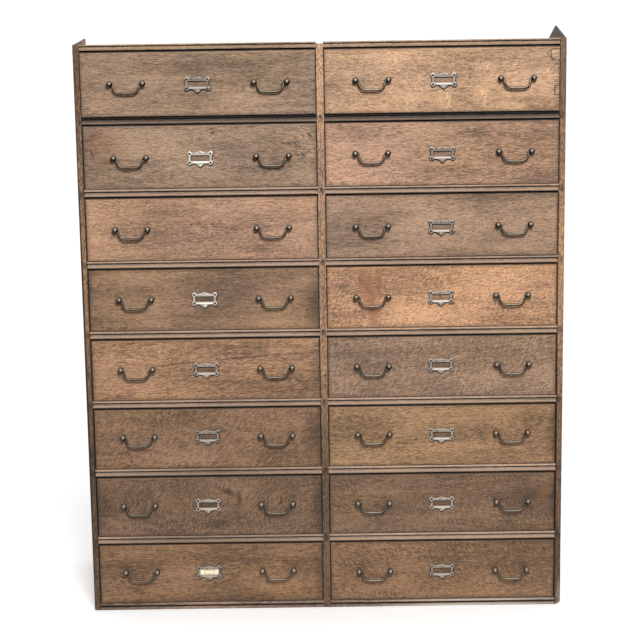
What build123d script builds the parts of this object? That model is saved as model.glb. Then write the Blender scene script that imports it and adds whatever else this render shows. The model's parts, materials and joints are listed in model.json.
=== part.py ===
from build123d import *
import os

# A floor-standing oak flight of drawers: two columns of eight drawers in a plain board carcass.
# Millimetres. The origin is the middle of the base, +Z is up and the drawers open towards -Y.

# Layout
ROWS = 8
COLUMN_SIGNS = {"left": -1, "right": 1}

# Carcass boards
WIDTH = 1350.0
DEPTH = 480.0
SIDE_THICKNESS = 18.0
SIDE_CHAMFER = 3.0
DIVIDER_THICKNESS = 20.0
TOP_RAIL_HEIGHT = 16.0
TOP_DROP = 5.0
FLOOR_THICKNESS = 12.0
BACK_THICKNESS = 10.0
BACK_BOARDS = 9

# Cheeks: the outer skin of each side board rises to a peak behind its front edge
CHEEK_THICKNESS = 5.0
CHEEK_RISES = {"left": 19.0, "right": 36.0}
CHEEK_PEAKS_BACK = {"left": 225.0, "right": 190.0}
CHEEK_ENDS_BACK = {"left": 225.0, "right": 320.0}

# The break across the outer front foot of the right side board
FOOT_BREAK_WIDTH = 15.0
FOOT_BREAK_HEIGHT = 9.0
FOOT_BREAK_DEPTH = 40.0

# Rail mouldings, from the bottom edge up: lip, cove, quirk and nosing
RAIL_DEPTH = 45.0
LIP_HEIGHT = 3.0
COVE_RADIUS = 9.0
QUIRK_HEIGHT = 2.0
NOSING_HEIGHT = 6.0
NOSING_CHAMFER = 1.5
BASE_STRIP_HEIGHT = 9.0
BASE_GROOVE_HEIGHT = 3.0
BASE_GROOVE_DEPTH = 4.0
BASE_BEAD_HEIGHT = 8.0

# Runners and stops inside the carcass
RUNNER_WIDTH = 22.0
RUNNER_HEIGHT = 18.0
STOP_WIDTH = 30.0
STOP_DEPTH = 18.0
STOP_HEIGHT = 5.0
STOP_INSET = 110.0
STOP_CLEARANCE = 0.3

# Drawer boxes
FRONT_HEIGHT = 176.0
FRONT_THICKNESS = 20.0
FRONT_RECESS = 3.0
HEAD_GAP = 3.7
RUN_CLEARANCE = 0.3
SIDE_CLEARANCE = 1.5
REAR_GAP = 15.0
LAP_COVER = 6.0
BOX_SIDE_THICKNESS = 12.0
BOX_BACK_THICKNESS = 12.0
BOX_BACK_DROP = 20.0
BOX_BOTTOM_THICKNESS = 8.0
BOX_BOTTOM_RAISE = 9.0
BOX_GROOVE_DEPTH = 5.0

# How far each drawer stands out from its stops, from the top row down
SHUT = 0.0
SLIGHT = 5.0
AJAR = 12.0
STAND_OUTS = {
    "left": (AJAR, SHUT, SLIGHT, SHUT, SHUT, SHUT, SHUT, SHUT),
    "right": (AJAR, SLIGHT, SLIGHT, SHUT, SHUT, SHUT, SHUT, SHUT),
}

# Drop handles: ball posts, and a bail whose pins turn in the balls
HANDLE_SPACING = 388.0
POST_SPACING = 90.0
POST_REACH = 20.0
BALL_DIAMETER = 14.0
BALL_CHAMFER_SHARE = 0.293
BAIL_DROP = 27.0
BAIL_ROD = 6.0
BAIL_SIDES = 6
BAIL_CORNER_SHARES = ((0.96, 0.40), (0.80, 0.74), (0.42, 1.0))
KNUCKLE_GAP = 0.5
PIN_DIAMETER = 3.6
PIN_REACH = 5.0
PIN_SIDES = 4
PIN_CLEARANCE = 0.1
PIN_END_GAP = 0.5

# Cast label frames, and the one card that is left
FRAME_WIDTH = 68.0
FRAME_HEIGHT = 32.0
FRAME_THICKNESS = 3.2
WINDOW_WIDTH = 52.0
WINDOW_HEIGHT = 15.5
EAR_DIAMETER = 13.0
EAR_SPACING = 58.0
EAR_RISE_SPACING = 25.0
EAR_SIDES = 6
PENDANT_WIDTH = 25.0
PENDANT_DROP = 10.0
CREST_WIDTH = 22.0
CREST_RISE = 3.0
CREST_TOP_SHARE = 0.55
POCKET_MARGIN = 2.5
POCKET_DEPTH = 0.9
CARD_THICKNESS = 0.5
CARD_CLEARANCE = 0.3
BARE_DRAWER = ("left", 3)
CARD_DRAWER = ("left", 8)

# Fitted by eye, from the top row down: how far to the right of their even places each drawer's left
# handle, right handle and label frame are, and how far the handles and the frame are above mid-height
LEFT_HANDLE_SHIFTS = {
    "left": (-0.5, 1.5, -0.5, 3.0, 0.0, 0.0, -5.0, -5.5),
    "right": (2.0, 0.0, -1.0, -1.5, -1.5, -1.0, -2.5, -1.0),
}
RIGHT_HANDLE_SHIFTS = {
    "left": (4.5, 6.0, 4.0, 5.0, 5.0, 3.0, 0.5, -0.5),
    "right": (10.0, 6.5, 5.5, 0.5, 4.0, 2.5, 5.0, 2.0),
}
FRAME_SHIFTS = {
    "left": (-2.0, -0.5, 0.0, 1.5, 1.0, -0.5, -4.0, -6.0),
    "right": (4.5, 1.0, -2.0, -3.0, -3.0, -1.0, -1.0, -1.0),
}
HANDLE_RISES = {
    "left": (2.0, -0.5, 2.0, 4.0, 4.5, 9.0, 7.5, 9.5),
    "right": (2.5, 3.5, 1.5, 3.0, 5.5, 8.0, 6.0, 3.0),
}
FRAME_RISES = {
    "left": (-1.0, -4.5, 0.0, 1.5, 0.0, 5.5, 3.5, 2.5),
    "right": (0.5, -1.0, -3.5, -2.0, 4.0, 2.0, 0.0, -1.5),
}

# Worked-out sizes
FRONT_Y = -DEPTH / 2
BACK_Y = DEPTH / 2
CARCASS_BACK_Y = BACK_Y - BACK_THICKNESS
RAIL_BACK_Y = FRONT_Y + RAIL_DEPTH
RAIL_HEIGHT = LIP_HEIGHT + COVE_RADIUS + QUIRK_HEIGHT + NOSING_HEIGHT
BASE_HEIGHT = BASE_STRIP_HEIGHT + BASE_GROOVE_HEIGHT + BASE_BEAD_HEIGHT
OPENING_HEIGHT = RUN_CLEARANCE + FRONT_HEIGHT + HEAD_GAP
ROW_PITCH = OPENING_HEIGHT + RAIL_HEIGHT
HEIGHT = BASE_HEIGHT + ROWS * ROW_PITCH - RAIL_HEIGHT + TOP_RAIL_HEIGHT
UNDER_TOP = HEIGHT - TOP_RAIL_HEIGHT
BOARDS_TOP = HEIGHT - TOP_DROP
INNER_WIDTH = WIDTH - 2 * SIDE_THICKNESS
BAY_WIDTH = (INNER_WIDTH - DIVIDER_THICKNESS) / 2
BAY_CENTRE = (DIVIDER_THICKNESS + BAY_WIDTH) / 2
FRONT_WIDTH = BAY_WIDTH - 2 * SIDE_CLEARANCE
BOX_WIDTH = FRONT_WIDTH - 2 * BOX_SIDE_THICKNESS
BOX_LENGTH = DEPTH - BACK_THICKNESS - FRONT_RECESS - REAR_GAP
BALL_RADIUS = BALL_DIAMETER / 2
BAIL_RADIUS = BAIL_ROD / 2
ARM_X = POST_SPACING / 2 - BALL_RADIUS - KNUCKLE_GAP - BAIL_RADIUS


def board(x_span, y_span, z_span):
    """A plain board between two limits along each axis."""
    low = Vector(x_span[0], y_span[0], z_span[0])
    high = Vector(x_span[1], y_span[1], z_span[1])
    size = high - low
    return Pos((low + high) / 2) * Box(size.X, size.Y, size.Z)


def opening_floor(row):
    """The height that the drawers of a row run at, row 1 being the top one."""
    return BASE_HEIGHT + (ROWS - row) * ROW_PITCH


def bay_span(column):
    """The inner faces that a column's rails fit between."""
    centre = COLUMN_SIGNS[column] * BAY_CENTRE
    return (centre - BAY_WIDTH / 2, centre + BAY_WIDTH / 2)


def side_board(column):
    """A side board with its outer front edge eased, and the thin cheek over its outer face."""
    upright = board((INNER_WIDTH / 2, WIDTH / 2), (FRONT_Y, BACK_Y), (0, HEIGHT))
    arris = upright.edges().filter_by(Axis.Z).group_by(Axis.Y)[0].sort_by(Axis.X)[-1]
    upright = chamfer(arris, length=SIDE_CHAMFER)
    outline = Plane.YZ * Polygon(
        (FRONT_Y + SIDE_CHAMFER, HEIGHT),
        (FRONT_Y + CHEEK_ENDS_BACK[column], HEIGHT),
        (FRONT_Y + CHEEK_PEAKS_BACK[column], HEIGHT + CHEEK_RISES[column]),
        align=None,
    )
    cheek = Pos(WIDTH / 2 - CHEEK_THICKNESS, 0, 0) * extrude(outline, amount=CHEEK_THICKNESS)
    placed = upright + cheek
    if column == "left":
        placed = mirror(placed, about=Plane.YZ)
    return placed


def foot_break():
    """The plane of the break, facing into what is left of the right side board."""
    outer = WIDTH / 2
    inner_end = Vector(outer - FOOT_BREAK_WIDTH, FRONT_Y, 0)
    upper_end = Vector(outer, FRONT_Y, FOOT_BREAK_HEIGHT)
    rear_end = Vector(outer, FRONT_Y + FOOT_BREAK_DEPTH, 0)
    return Plane(inner_end, z_dir=(upper_end - inner_end).cross(rear_end - inner_end))


def centre_divider():
    """The divider runs under the top board, and its front edge stands between the top rails."""
    outline = Plane.YZ * Polygon(
        (FRONT_Y, 0),
        (CARCASS_BACK_Y, 0),
        (CARCASS_BACK_Y, UNDER_TOP),
        (RAIL_BACK_Y, UNDER_TOP),
        (RAIL_BACK_Y, BOARDS_TOP),
        (FRONT_Y, BOARDS_TOP),
        align=None,
    )
    return extrude(outline, amount=DIVIDER_THICKNESS / 2, both=True)


def cove_rail(length, upper_points):
    """A rail along X from the origin: a lip, a cove over it, and the points of what stands above."""
    cove_top = LIP_HEIGHT + COVE_RADIUS
    lower = Polyline((RAIL_DEPTH, 0), (0, 0), (0, LIP_HEIGHT))
    cove = CenterArc((0, cove_top), COVE_RADIUS, start_angle=-90, arc_size=90)
    upper = Polyline((COVE_RADIUS, cove_top), *upper_points, (RAIL_DEPTH, 0))
    return extrude(Plane.YZ * make_face(lower + cove + upper), amount=length)


def front_rail(length):
    """A rail between two drawers: over its cove stand a quirk and a nosing with eased edges."""
    nosing_foot = RAIL_HEIGHT - NOSING_HEIGHT
    upper_points = [
        (COVE_RADIUS, nosing_foot),
        (NOSING_CHAMFER, nosing_foot),
        (0, nosing_foot + NOSING_CHAMFER),
        (0, RAIL_HEIGHT - NOSING_CHAMFER),
        (NOSING_CHAMFER, RAIL_HEIGHT),
        (RAIL_DEPTH, RAIL_HEIGHT),
    ]
    return cove_rail(length, upper_points)


def top_rail(length):
    """The rail along the top: over its cove stands a square fillet, higher than the top board."""
    fillet_foot = LIP_HEIGHT + COVE_RADIUS
    upper_points = [(0, fillet_foot), (0, TOP_RAIL_HEIGHT), (RAIL_DEPTH, TOP_RAIL_HEIGHT)]
    return cove_rail(length, upper_points)


def base_rail(length):
    """The bottom rail: a lower strip and an upper bead with a square groove between them."""
    groove_top = BASE_STRIP_HEIGHT + BASE_GROOVE_HEIGHT
    outline = Plane.YZ * Polygon(
        (0, 0),
        (RAIL_DEPTH, 0),
        (RAIL_DEPTH, BASE_HEIGHT),
        (NOSING_CHAMFER, BASE_HEIGHT),
        (0, BASE_HEIGHT - NOSING_CHAMFER),
        (0, groove_top),
        (BASE_GROOVE_DEPTH, groove_top),
        (BASE_GROOVE_DEPTH, BASE_STRIP_HEIGHT),
        (0, BASE_STRIP_HEIGHT),
        align=None,
    )
    return extrude(outline, amount=length)


def back_boards():
    """Upright boards side by side across the back, between the two side boards."""
    width = INNER_WIDTH / BACK_BOARDS
    edges = [-INNER_WIDTH / 2 + place * width for place in range(BACK_BOARDS + 1)]
    return [
        board(span, (CARCASS_BACK_Y, BACK_Y), (0, BOARDS_TOP))
        for span in zip(edges[:-1], edges[1:])
    ]


def runner_pair(column, row):
    """The two strips that carry one drawer's sides, level with the top of its rail."""
    low, high = bay_span(column)
    top = opening_floor(row)
    depth_span = (RAIL_BACK_Y, CARCASS_BACK_Y)
    height_span = (top - RUNNER_HEIGHT, top)
    return [
        board((low, low + RUNNER_WIDTH), depth_span, height_span),
        board((high - RUNNER_WIDTH, high), depth_span, height_span),
    ]


def stop_pair(column, row):
    """The two blocks on a rail that the back of a drawer front shuts against."""
    centre = COLUMN_SIGNS[column] * BAY_CENTRE
    reach = FRONT_WIDTH / 2 - STOP_INSET
    face = FRONT_Y + FRONT_RECESS + FRONT_THICKNESS + STOP_CLEARANCE
    floor = opening_floor(row)
    return [
        board(
            (centre + side * reach - STOP_WIDTH / 2, centre + side * reach + STOP_WIDTH / 2),
            (face, face + STOP_DEPTH),
            (floor, floor + STOP_HEIGHT),
        )
        for side in (-1, 1)
    ]


def drawer_box():
    """One drawer's boards, from the middle of its front's lower edge: front, sides, bottom, back."""
    half = FRONT_WIDTH / 2
    lap = half - BOX_SIDE_THICKNESS
    front = extrude(
        Polygon(
            (-half, 0),
            (half, 0),
            (half, LAP_COVER),
            (lap, LAP_COVER),
            (lap, FRONT_THICKNESS),
            (-lap, FRONT_THICKNESS),
            (-lap, LAP_COVER),
            (-half, LAP_COVER),
            align=None,
        ),
        amount=FRONT_HEIGHT,
    )

    bottom_top = BOX_BOTTOM_RAISE + BOX_BOTTOM_THICKNESS
    groove = lap + BOX_GROOVE_DEPTH
    side_section = Plane.XZ * Polygon(
        (lap, 0),
        (half, 0),
        (half, FRONT_HEIGHT),
        (lap, FRONT_HEIGHT),
        (lap, bottom_top),
        (groove, bottom_top),
        (groove, BOX_BOTTOM_RAISE),
        (lap, BOX_BOTTOM_RAISE),
        align=None,
    )
    right_side = Pos(0, BOX_LENGTH, 0) * extrude(side_section, amount=BOX_LENGTH - LAP_COVER)
    left_side = mirror(right_side, about=Plane.YZ)

    bottom = board((-groove, groove), (FRONT_THICKNESS, BOX_LENGTH), (BOX_BOTTOM_RAISE, bottom_top))
    back = board(
        (-BOX_WIDTH / 2, BOX_WIDTH / 2),
        (BOX_LENGTH - BOX_BACK_THICKNESS, BOX_LENGTH),
        (bottom_top, FRONT_HEIGHT - BOX_BACK_DROP),
    )
    return [front, left_side, right_side, bottom, back]


def ball_post():
    """A handle's left post: a neck and a ball, with a socket for the bail's pin in its inner side."""
    edge_cut = BALL_DIAMETER * BALL_CHAMFER_SHARE
    cube = Box(BALL_DIAMETER, BALL_DIAMETER, BALL_DIAMETER)
    ball = Pos(0, -POST_REACH, 0) * chamfer(cube.edges(), length=edge_cut)
    neck_half = BALL_RADIUS - edge_cut
    neck_span = (-neck_half, neck_half)
    neck = board(neck_span, (BALL_RADIUS - POST_REACH, 0), neck_span)
    mouth = Plane((BALL_RADIUS, -POST_REACH, 0), x_dir=(0, 0, 1), z_dir=(-1, 0, 0))
    bore = RegularPolygon(PIN_DIAMETER / 2 + PIN_CLEARANCE, PIN_SIDES, major_radius=False)
    socket = extrude(mouth * bore, amount=PIN_REACH + PIN_END_GAP)
    return ball + neck - socket


def drop_bail():
    """A bail hanging from the middle of its hinge line: a bent rod with a pin on each outer side."""
    crown = (ARM_X, 0, BAIL_RADIUS)
    half_path = [crown] + [(out * ARM_X, 0, -down * BAIL_DROP) for out, down in BAIL_CORNER_SHARES]
    other_half = [(-x, y, z) for x, y, z in reversed(half_path)]
    section = RegularPolygon(BAIL_RADIUS, BAIL_SIDES, major_radius=False, rotation=180 / BAIL_SIDES)
    bail = sweep(
        Plane(crown, x_dir=(1, 0, 0), z_dir=(0, 0, -1)) * section,
        path=Polyline(*half_path, *other_half),
        transition=Transition.RIGHT,
    )
    pin_tip = POST_SPACING / 2 - BALL_RADIUS + PIN_REACH
    for side in (-1, 1):
        root = Plane((side * ARM_X, 0, 0), x_dir=(0, 0, 1), z_dir=(side, 0, 0))
        bail += extrude(root * RegularPolygon(PIN_DIAMETER / 2, PIN_SIDES), amount=pin_tip - ARM_X)
    return bail


def label_frame():
    """A cast card frame: eared corners, a crest, a pointed pendant, a window and a pocket behind."""
    half_height = FRAME_HEIGHT / 2
    crest_half = CREST_WIDTH / 2
    outline = Rectangle(FRAME_WIDTH, FRAME_HEIGHT)
    outline += [
        Pos(across * EAR_SPACING / 2, up * EAR_RISE_SPACING / 2)
        * RegularPolygon(EAR_DIAMETER / 2, EAR_SIDES, major_radius=False)
        for across in (-1, 1)
        for up in (-1, 1)
    ]
    outline += Polygon(
        (-PENDANT_WIDTH / 2, -half_height),
        (0, -half_height - PENDANT_DROP),
        (PENDANT_WIDTH / 2, -half_height),
        align=None,
    )
    outline += Polygon(
        (-crest_half, half_height),
        (crest_half, half_height),
        (crest_half * CREST_TOP_SHARE, half_height + CREST_RISE),
        (-crest_half * CREST_TOP_SHARE, half_height + CREST_RISE),
        align=None,
    )
    on_face = Plane((0, 0, 0), x_dir=(1, 0, 0), z_dir=(0, -1, 0))
    pocket = Rectangle(WINDOW_WIDTH + 2 * POCKET_MARGIN, WINDOW_HEIGHT + 2 * POCKET_MARGIN)
    frame = extrude(on_face * (outline - Rectangle(WINDOW_WIDTH, WINDOW_HEIGHT)), amount=FRAME_THICKNESS)
    return frame - extrude(on_face * pocket, amount=POCKET_DEPTH)


def paper_card():
    """The card in the frame's pocket, flat on the drawer's face."""
    width = WINDOW_WIDTH + 2 * (POCKET_MARGIN - CARD_CLEARANCE)
    height = WINDOW_HEIGHT + 2 * (POCKET_MARGIN - CARD_CLEARANCE)
    return board((-width / 2, width / 2), (-CARD_THICKNESS, 0), (-height / 2, height / 2))


def drawer_place(column, row):
    """Where a drawer stands: the middle of its front's lower edge."""
    x = COLUMN_SIGNS[column] * BAY_CENTRE
    y = FRONT_Y + FRONT_RECESS - STAND_OUTS[column][row - 1]
    return Pos(x, y, opening_floor(row) + RUN_CLEARANCE)


def handle_spots(column, row):
    """The middles of a drawer's two hinge lines on its face, from the drawer's place."""
    rise = FRONT_HEIGHT / 2 + HANDLE_RISES[column][row - 1]
    left_x = LEFT_HANDLE_SHIFTS[column][row - 1] - HANDLE_SPACING / 2
    right_x = RIGHT_HANDLE_SHIFTS[column][row - 1] + HANDLE_SPACING / 2
    return [Pos(left_x, 0, rise), Pos(right_x, 0, rise)]


def frame_spot(column, row):
    """The middle of a drawer's label frame on its face, from the drawer's place."""
    rise = FRONT_HEIGHT / 2 + FRAME_RISES[column][row - 1]
    return Pos(FRAME_SHIFTS[column][row - 1], 0, rise)


def write_node(name, solids):
    """Write one node's solids to its own file."""
    export_step(Compound(children=list(solids)), f"parts/{name}.step")


os.makedirs("parts", exist_ok=True)
rows = range(1, ROWS + 1)
drawers = [(column, row) for column in COLUMN_SIGNS for row in rows]
upper_rows = range(1, ROWS)

# Carcass
write_node("left_side", [side_board("left")])
write_node("right_side", [split(side_board("right"), bisect_by=foot_break(), keep=Keep.TOP)])
write_node("centre_divider", [centre_divider()])
inner_span = (-INNER_WIDTH / 2, INNER_WIDTH / 2)
top = board(inner_span, (RAIL_BACK_Y, CARCASS_BACK_Y), (UNDER_TOP, BOARDS_TOP))
write_node("top_board", [top])
floor_span = (BASE_HEIGHT - FLOOR_THICKNESS, BASE_HEIGHT)
floors = [board(bay_span(column), (RAIL_BACK_Y, CARCASS_BACK_Y), floor_span) for column in COLUMN_SIGNS]
write_node("floor_boards", floors)
write_node("back_boards", back_boards())

# Rails, runners and stops
rail_starts = {column: bay_span(column)[0] for column in COLUMN_SIGNS}
rail = front_rail(BAY_WIDTH)
front_rails = [
    Pos(rail_starts[column], FRONT_Y, opening_floor(row) - RAIL_HEIGHT) * rail
    for column in COLUMN_SIGNS
    for row in upper_rows
]
write_node("front_rails", front_rails)
rail = top_rail(BAY_WIDTH)
write_node("top_rails", [Pos(x, FRONT_Y, UNDER_TOP) * rail for x in rail_starts.values()])
rail = base_rail(BAY_WIDTH)
write_node("base_rails", [Pos(x, FRONT_Y, 0) * rail for x in rail_starts.values()])
runners = [runner_pair(column, row) for column in COLUMN_SIGNS for row in upper_rows]
write_node("drawer_runners", [strip for pair in runners for strip in pair])
stops = [stop_pair(column, row) for column, row in drawers]
write_node("drawer_stops", [block for pair in stops for block in pair])

# Drawers with their handles and label frames
box = drawer_box()
left_post = ball_post()
right_post = mirror(left_post, about=Plane.YZ)
post_pair = [Pos(-POST_SPACING / 2, 0, 0) * left_post, Pos(POST_SPACING / 2, 0, 0) * right_post]
bail = Pos(0, -POST_REACH, 0) * drop_bail()
frame = label_frame()
for column, row in drawers:
    place = drawer_place(column, row)
    handles = [place * spot for spot in handle_spots(column, row)]
    fittings = [handle * post for handle in handles for post in post_pair]
    if (column, row) != BARE_DRAWER:
        fittings.append(place * frame_spot(column, row) * frame)
    write_node(f"drawer_{column}_{row}", [place * piece for piece in box])
    write_node(f"fittings_{column}_{row}", fittings)
    write_node(f"bails_{column}_{row}", [handle * bail for handle in handles])
card = drawer_place(*CARD_DRAWER) * frame_spot(*CARD_DRAWER) * paper_card()
write_node("paper_card", [card])
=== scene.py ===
import json
import math
import bmesh
import bpy
from mathutils import Matrix, Vector


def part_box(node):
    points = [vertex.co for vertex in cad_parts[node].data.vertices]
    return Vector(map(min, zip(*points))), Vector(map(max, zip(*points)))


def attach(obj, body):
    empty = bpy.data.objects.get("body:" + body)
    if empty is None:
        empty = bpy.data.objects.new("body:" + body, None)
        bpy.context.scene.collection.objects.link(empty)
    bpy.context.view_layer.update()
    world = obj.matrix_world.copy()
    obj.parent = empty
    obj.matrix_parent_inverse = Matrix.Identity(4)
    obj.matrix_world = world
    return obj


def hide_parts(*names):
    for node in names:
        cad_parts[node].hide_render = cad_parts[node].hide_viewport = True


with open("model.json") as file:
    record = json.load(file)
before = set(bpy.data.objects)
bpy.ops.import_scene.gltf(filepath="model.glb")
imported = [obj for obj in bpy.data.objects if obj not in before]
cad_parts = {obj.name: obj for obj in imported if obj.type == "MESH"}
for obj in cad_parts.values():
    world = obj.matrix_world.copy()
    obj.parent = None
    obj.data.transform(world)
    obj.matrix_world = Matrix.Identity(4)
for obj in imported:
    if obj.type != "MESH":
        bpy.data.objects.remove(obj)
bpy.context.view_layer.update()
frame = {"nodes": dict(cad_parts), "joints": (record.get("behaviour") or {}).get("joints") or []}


# Side boards and centre divider: upright oak boards, sawn and planed by hand, that every rail and runner
# is housed into. Each side rises to a cheek behind its top front corner; the right one's foot is broken.


class NodeBench:
    """Adds nodes to a shader or geometry tree and joins them up."""

    def __init__(self, tree):
        self.tree = tree

    def put(self, kind, sockets=None, **settings):
        node = self.tree.nodes.new(kind)
        for setting, value in settings.items():
            setattr(node, setting, value)
        for socket, value in (sockets or {}).items():
            if isinstance(value, bpy.types.NodeSocket):
                self.tree.links.new(value, node.inputs[socket])
            else:
                node.inputs[socket].default_value = value
        return node

    def take(self, kind, sockets=None, **settings):
        return self.put(kind, sockets, **settings).outputs[0]

    def sum(self, operation, *values):
        return self.take("ShaderNodeMath", dict(enumerate(values)), operation=operation)

    def vector(self, operation, *values):
        return self.take("ShaderNodeVectorMath", dict(enumerate(values)), operation=operation)

    def noise(self, place, stretch, detail=2.0, roughness=0.5):
        spread = self.vector("MULTIPLY", place, stretch)
        sockets = {"Vector": spread, "Scale": 1.0, "Detail": detail, "Roughness": roughness}
        return self.take("ShaderNodeTexNoise", sockets)

    def between(self, value, low, high, at_low=0.0, at_high=1.0):
        sockets = {"Value": value, "From Min": low, "From Max": high, "To Min": at_low, "To Max": at_high}
        return self.take("ShaderNodeMapRange", sockets, interpolation_type="SMOOTHSTEP")

    def blend(self, share, first, second, blend_type="MIX"):
        sockets = {0: share, 6: first, 7: second}
        return self.put("ShaderNodeMix", sockets, data_type="RGBA", blend_type=blend_type).outputs[2]


def shade(code, lift=1.0):
    """A colour-chart code, lightened or darkened, as the linear values that a shader takes."""
    parts = [int(code[start:start + 2], 16) / 255 for start in (0, 2, 4)]
    return [*(min(1.0, lift * part ** 2.2) for part in parts), 1.0]


MARK_STRIPES = {"rays": (1.0, 13.0, 0.0), "ripple": (1.6, 27.0, 0.0), "scratches": (0.8, 9.0, 0.0)}
MARK_DEPTHS = {"rays": (0.48, 0.60), "ripple": (0.44, 0.60), "scratches": (0.51, 0.57)}
# Some kinds paint shade rather than a mark: the edge lines along the gaps and shaded edges, the cast shadow
# under the top drawers, and part of the soot.
MARK_EDGES = {
    "rays": 0.35, "ripple": 0.25, "scratches": 0.55, "stain": 0.1, "smear": 0.1, "rubbed": 0.3,
    "soot": 0.8, "smoke": 0.2, "hole": 0.75, "dust": 0.2, "grime": 0.1, "edge": 0.75,
}
MARK_LIFTS = {
    "rays": 1.8, "ripple": 0.45, "scratches": 0.10, "stain": 0.3, "smear": 1.0, "rubbed": 1.55,
    "soot": 0.12, "smoke": 0.06, "hole": 0.05, "dust": 1.0, "grime": 0.3, "edge": 0.05,
}
MARK_TONES = {"smear": "86563a", "dust": "bdb0a2"}
SOAKED_MARKS = ("stain", "grime", "rubbed")
# Marks that stay near the carcass's front, and how far back they reach.
FRONT_MARKS = {"grime": 0.14, "edge": 0.02}
CARCASS_FRONT = -0.24


def lay_mark(bench, board, colour, tone, kind, along, across, length, height, turn, strength):
    """One mark in a turned oval: rays, ripples and scratches are stripes, and stains, darkened places and
    rubbed places let the grain show through; some kinds paint shade or a cast shadow. Places and half sizes
    are in metres, the turn in degrees."""
    sockets = {
        "Vector": board,
        "Location": (along, across, CARCASS_FRONT),
        "Rotation": (0.0, 0.0, math.radians(turn)),
        "Scale": (length, height, FRONT_MARKS.get(kind, 1.0)),
    }
    oval = bench.take("ShaderNodeMapping", sockets, vector_type="TEXTURE")
    flat = bench.vector("MULTIPLY", oval, (1.0, 1.0, float(kind in FRONT_MARKS)))
    reach = bench.put("ShaderNodeVectorMath", {0: flat}, operation="LENGTH").outputs["Value"]
    share = bench.between(reach, 1.0, MARK_EDGES[kind], 0.0, strength)
    if kind in MARK_STRIPES:
        waver = bench.sum("MULTIPLY_ADD", bench.noise(flat, (1.7, 1.7, 0.0), 1.0), 0.5, -0.25)
        wavy = bench.vector("ADD", flat, bench.take("ShaderNodeCombineXYZ", {1: waver}))
        stripes = bench.noise(wavy, MARK_STRIPES[kind], 1.0)
        share = bench.sum("MULTIPLY", share, bench.between(stripes, *MARK_DEPTHS[kind]))
    if kind in SOAKED_MARKS:
        return bench.blend(share, colour, (*[MARK_LIFTS[kind]] * 3, 1.0), "MULTIPLY")
    return bench.blend(share, colour, shade(MARK_TONES.get(kind, tone), MARK_LIFTS[kind]))


def new_finish(name):
    """An empty material and a bench for its nodes."""
    material = bpy.data.materials.new(name)
    material.use_nodes = True
    material.node_tree.nodes.clear()
    return material, NodeBench(material.node_tree)


def coat(bench, sockets):
    """The surface that a material ends in."""
    surface = bench.take("ShaderNodeBsdfPrincipled", sockets)
    bench.put("ShaderNodeOutputMaterial", {"Surface": surface})


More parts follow.
